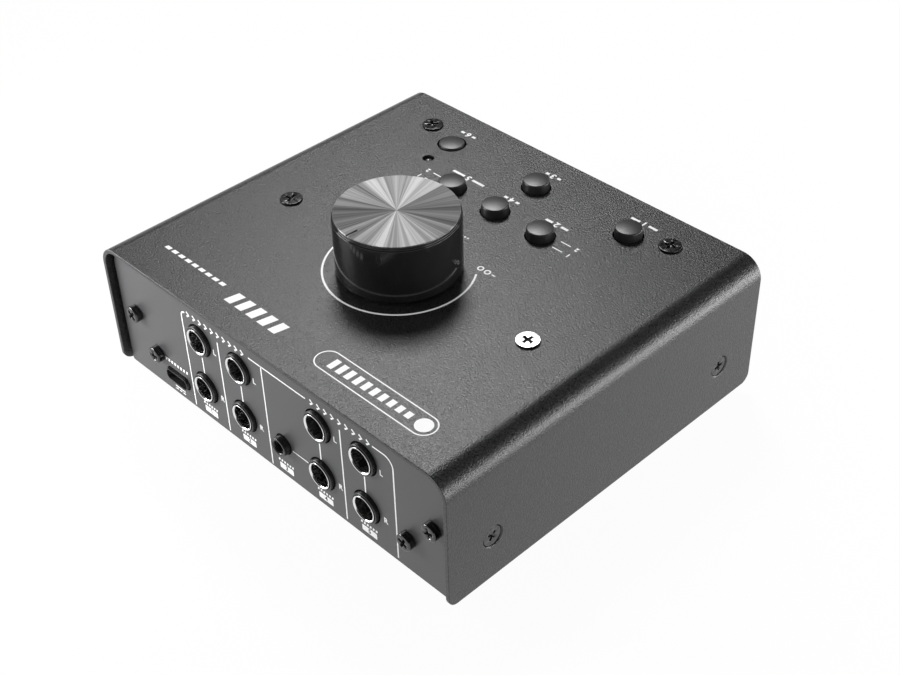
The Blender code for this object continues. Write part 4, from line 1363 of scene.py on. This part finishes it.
class ControllerLooks(bpy.types.PropertyGroup):
    """The sizes and colours that a user would change."""

    case_paint: colour_value("Case paint", "Colour of the powder coat", (0.01, 0.01, 0.0105))
    panel_paint: colour_value("Panel paint", "Colour of the end panels", (0.052, 0.052, 0.054))
    ink: colour_value("Ink", "Colour of the printed marks", (0.95, 0.95, 0.95))
    sheet: length_value("Sheet", "Thickness of the cover's sheet", SHEET)
    bend: length_value("Bend", "Outer radius of the cover's bends", COVER_BEND)
    ring_radius: length_value("Ring radius", "Radius of the printed ring", 19.8 * MM)
    ring_width: length_value("Ring width", "Width of the printed ring", 0.55 * MM)
    disc_skin: length_value("Disc skin", "Thickness of the knob's spun disc", 0.22 * MM)
    lamp_radius: length_value("Lamp radius", "Radius of the indicator", 1.35 * MM)
    pointer: plain_value("Pointer", "Angle of the pointer", math.radians(87.5), unit="ROTATION")
    button_share: plain_value("Button share", "Radius of a cap over that of its flange", 3.8 / 4.7)
    floor_white: plain_value("Floor white", "How white the floor shows", 0.95, subtype="FACTOR")
    ceiling: plain_value("Ceiling", "How bright the room shows overhead", 0.03)
    world_light: plain_value("World light", "Strength of the light from all round", 0.5)


class Cover(bpy.types.Operator):
    """Fold the cover and drill it"""

    bl_idname = "controller.cover"
    bl_label = "Cover"

    def execute(self, context):
        return run(build_cover, context)


class Panels(bpy.types.Operator):
    """Make the socket panel and the plain panel"""

    bl_idname = "controller.panels"
    bl_label = "Panels"

    def execute(self, context):
        return run(build_panels, context)


class Feet(bpy.types.Operator):
    """Turn the rubber feet"""

    bl_idname = "controller.feet"
    bl_label = "Feet"

    def execute(self, context):
        return run(build_feet, context)


class Fasteners(bpy.types.Operator):
    """Make the screws that show"""

    bl_idname = "controller.fasteners"
    bl_label = "Fasteners"

    def execute(self, context):
        return run(build_fasteners, context)


class Knob(bpy.types.Operator):
    """Turn the knob and its disc"""

    bl_idname = "controller.knob"
    bl_label = "Knob"

    def execute(self, context):
        return run(build_knob, context)


class Buttons(bpy.types.Operator):
    """Turn the six caps"""

    bl_idname = "controller.buttons"
    bl_label = "Buttons"

    def execute(self, context):
        return run(build_buttons, context)


class Indicator(bpy.types.Operator):
    """Make the lamp"""

    bl_idname = "controller.indicator"
    bl_label = "Indicator"

    def execute(self, context):
        return run(build_indicator, context)


class Jacks(bpy.types.Operator):
    """Make the jack housings and rings"""

    bl_idname = "controller.jacks"
    bl_label = "Jacks"

    def execute(self, context):
        return run(build_jacks, context)


class SmallSockets(bpy.types.Operator):
    """Make the small jack and the power socket"""

    bl_idname = "controller.small_sockets"
    bl_label = "Small sockets"

    def execute(self, context):
        return run(build_small_sockets, context)


class Inside(bpy.types.Operator):
    """Paint the solids that stay"""

    bl_idname = "controller.inside"
    bl_label = "Inside"

    def execute(self, context):
        return run(build_inside, context)


class TopMarks(bpy.types.Operator):
    """Print the top"""

    bl_idname = "controller.top_marks"
    bl_label = "Top marks"

    def execute(self, context):
        return run(build_top_prints, context)


class RearMarks(bpy.types.Operator):
    """Print the socket panel"""

    bl_idname = "controller.rear_marks"
    bl_label = "Rear marks"

    def execute(self, context):
        return run(build_rear_prints, context)


class Stage(bpy.types.Operator):
    """Set the camera, the lamps, the floor and the world"""

    bl_idname = "controller.stage"
    bl_label = "Stage"

    def execute(self, context):
        return run(build_stage, context)


STEPS = (
    Cover, Panels, Feet, Fasteners, Knob, Buttons, Indicator,
    Jacks, SmallSockets, Inside, TopMarks, RearMarks, Stage,
)


class ControllerPanel(bpy.types.Panel):
    """Lists the values and the steps in the sidebar."""

    bl_idname = "VIEW3D_PT_controller"
    bl_label = "Controller"
    bl_space_type = "VIEW_3D"
    bl_region_type = "UI"
    bl_category = "Controller"

    def draw(self, context):
        for name in ControllerLooks.__annotations__:
            self.layout.prop(context.scene.controller_looks, name)
        for made in STEPS:
            self.layout.operator(made.bl_idname)


CLASSES = (ControllerLooks, *STEPS, ControllerPanel)


def register():
    for made in CLASSES:
        bpy.utils.register_class(made)
    bpy.types.Scene.controller_looks = bpy.props.PointerProperty(type=ControllerLooks)


def unregister():
    del bpy.types.Scene.controller_looks
    for made in reversed(CLASSES):
        bpy.utils.unregister_class(made)


def main():
    register()
    for made in STEPS:
        group, name = made.bl_idname.split(".")
        getattr(getattr(bpy.ops, group), name)()


if __name__ == "__main__":
    main()
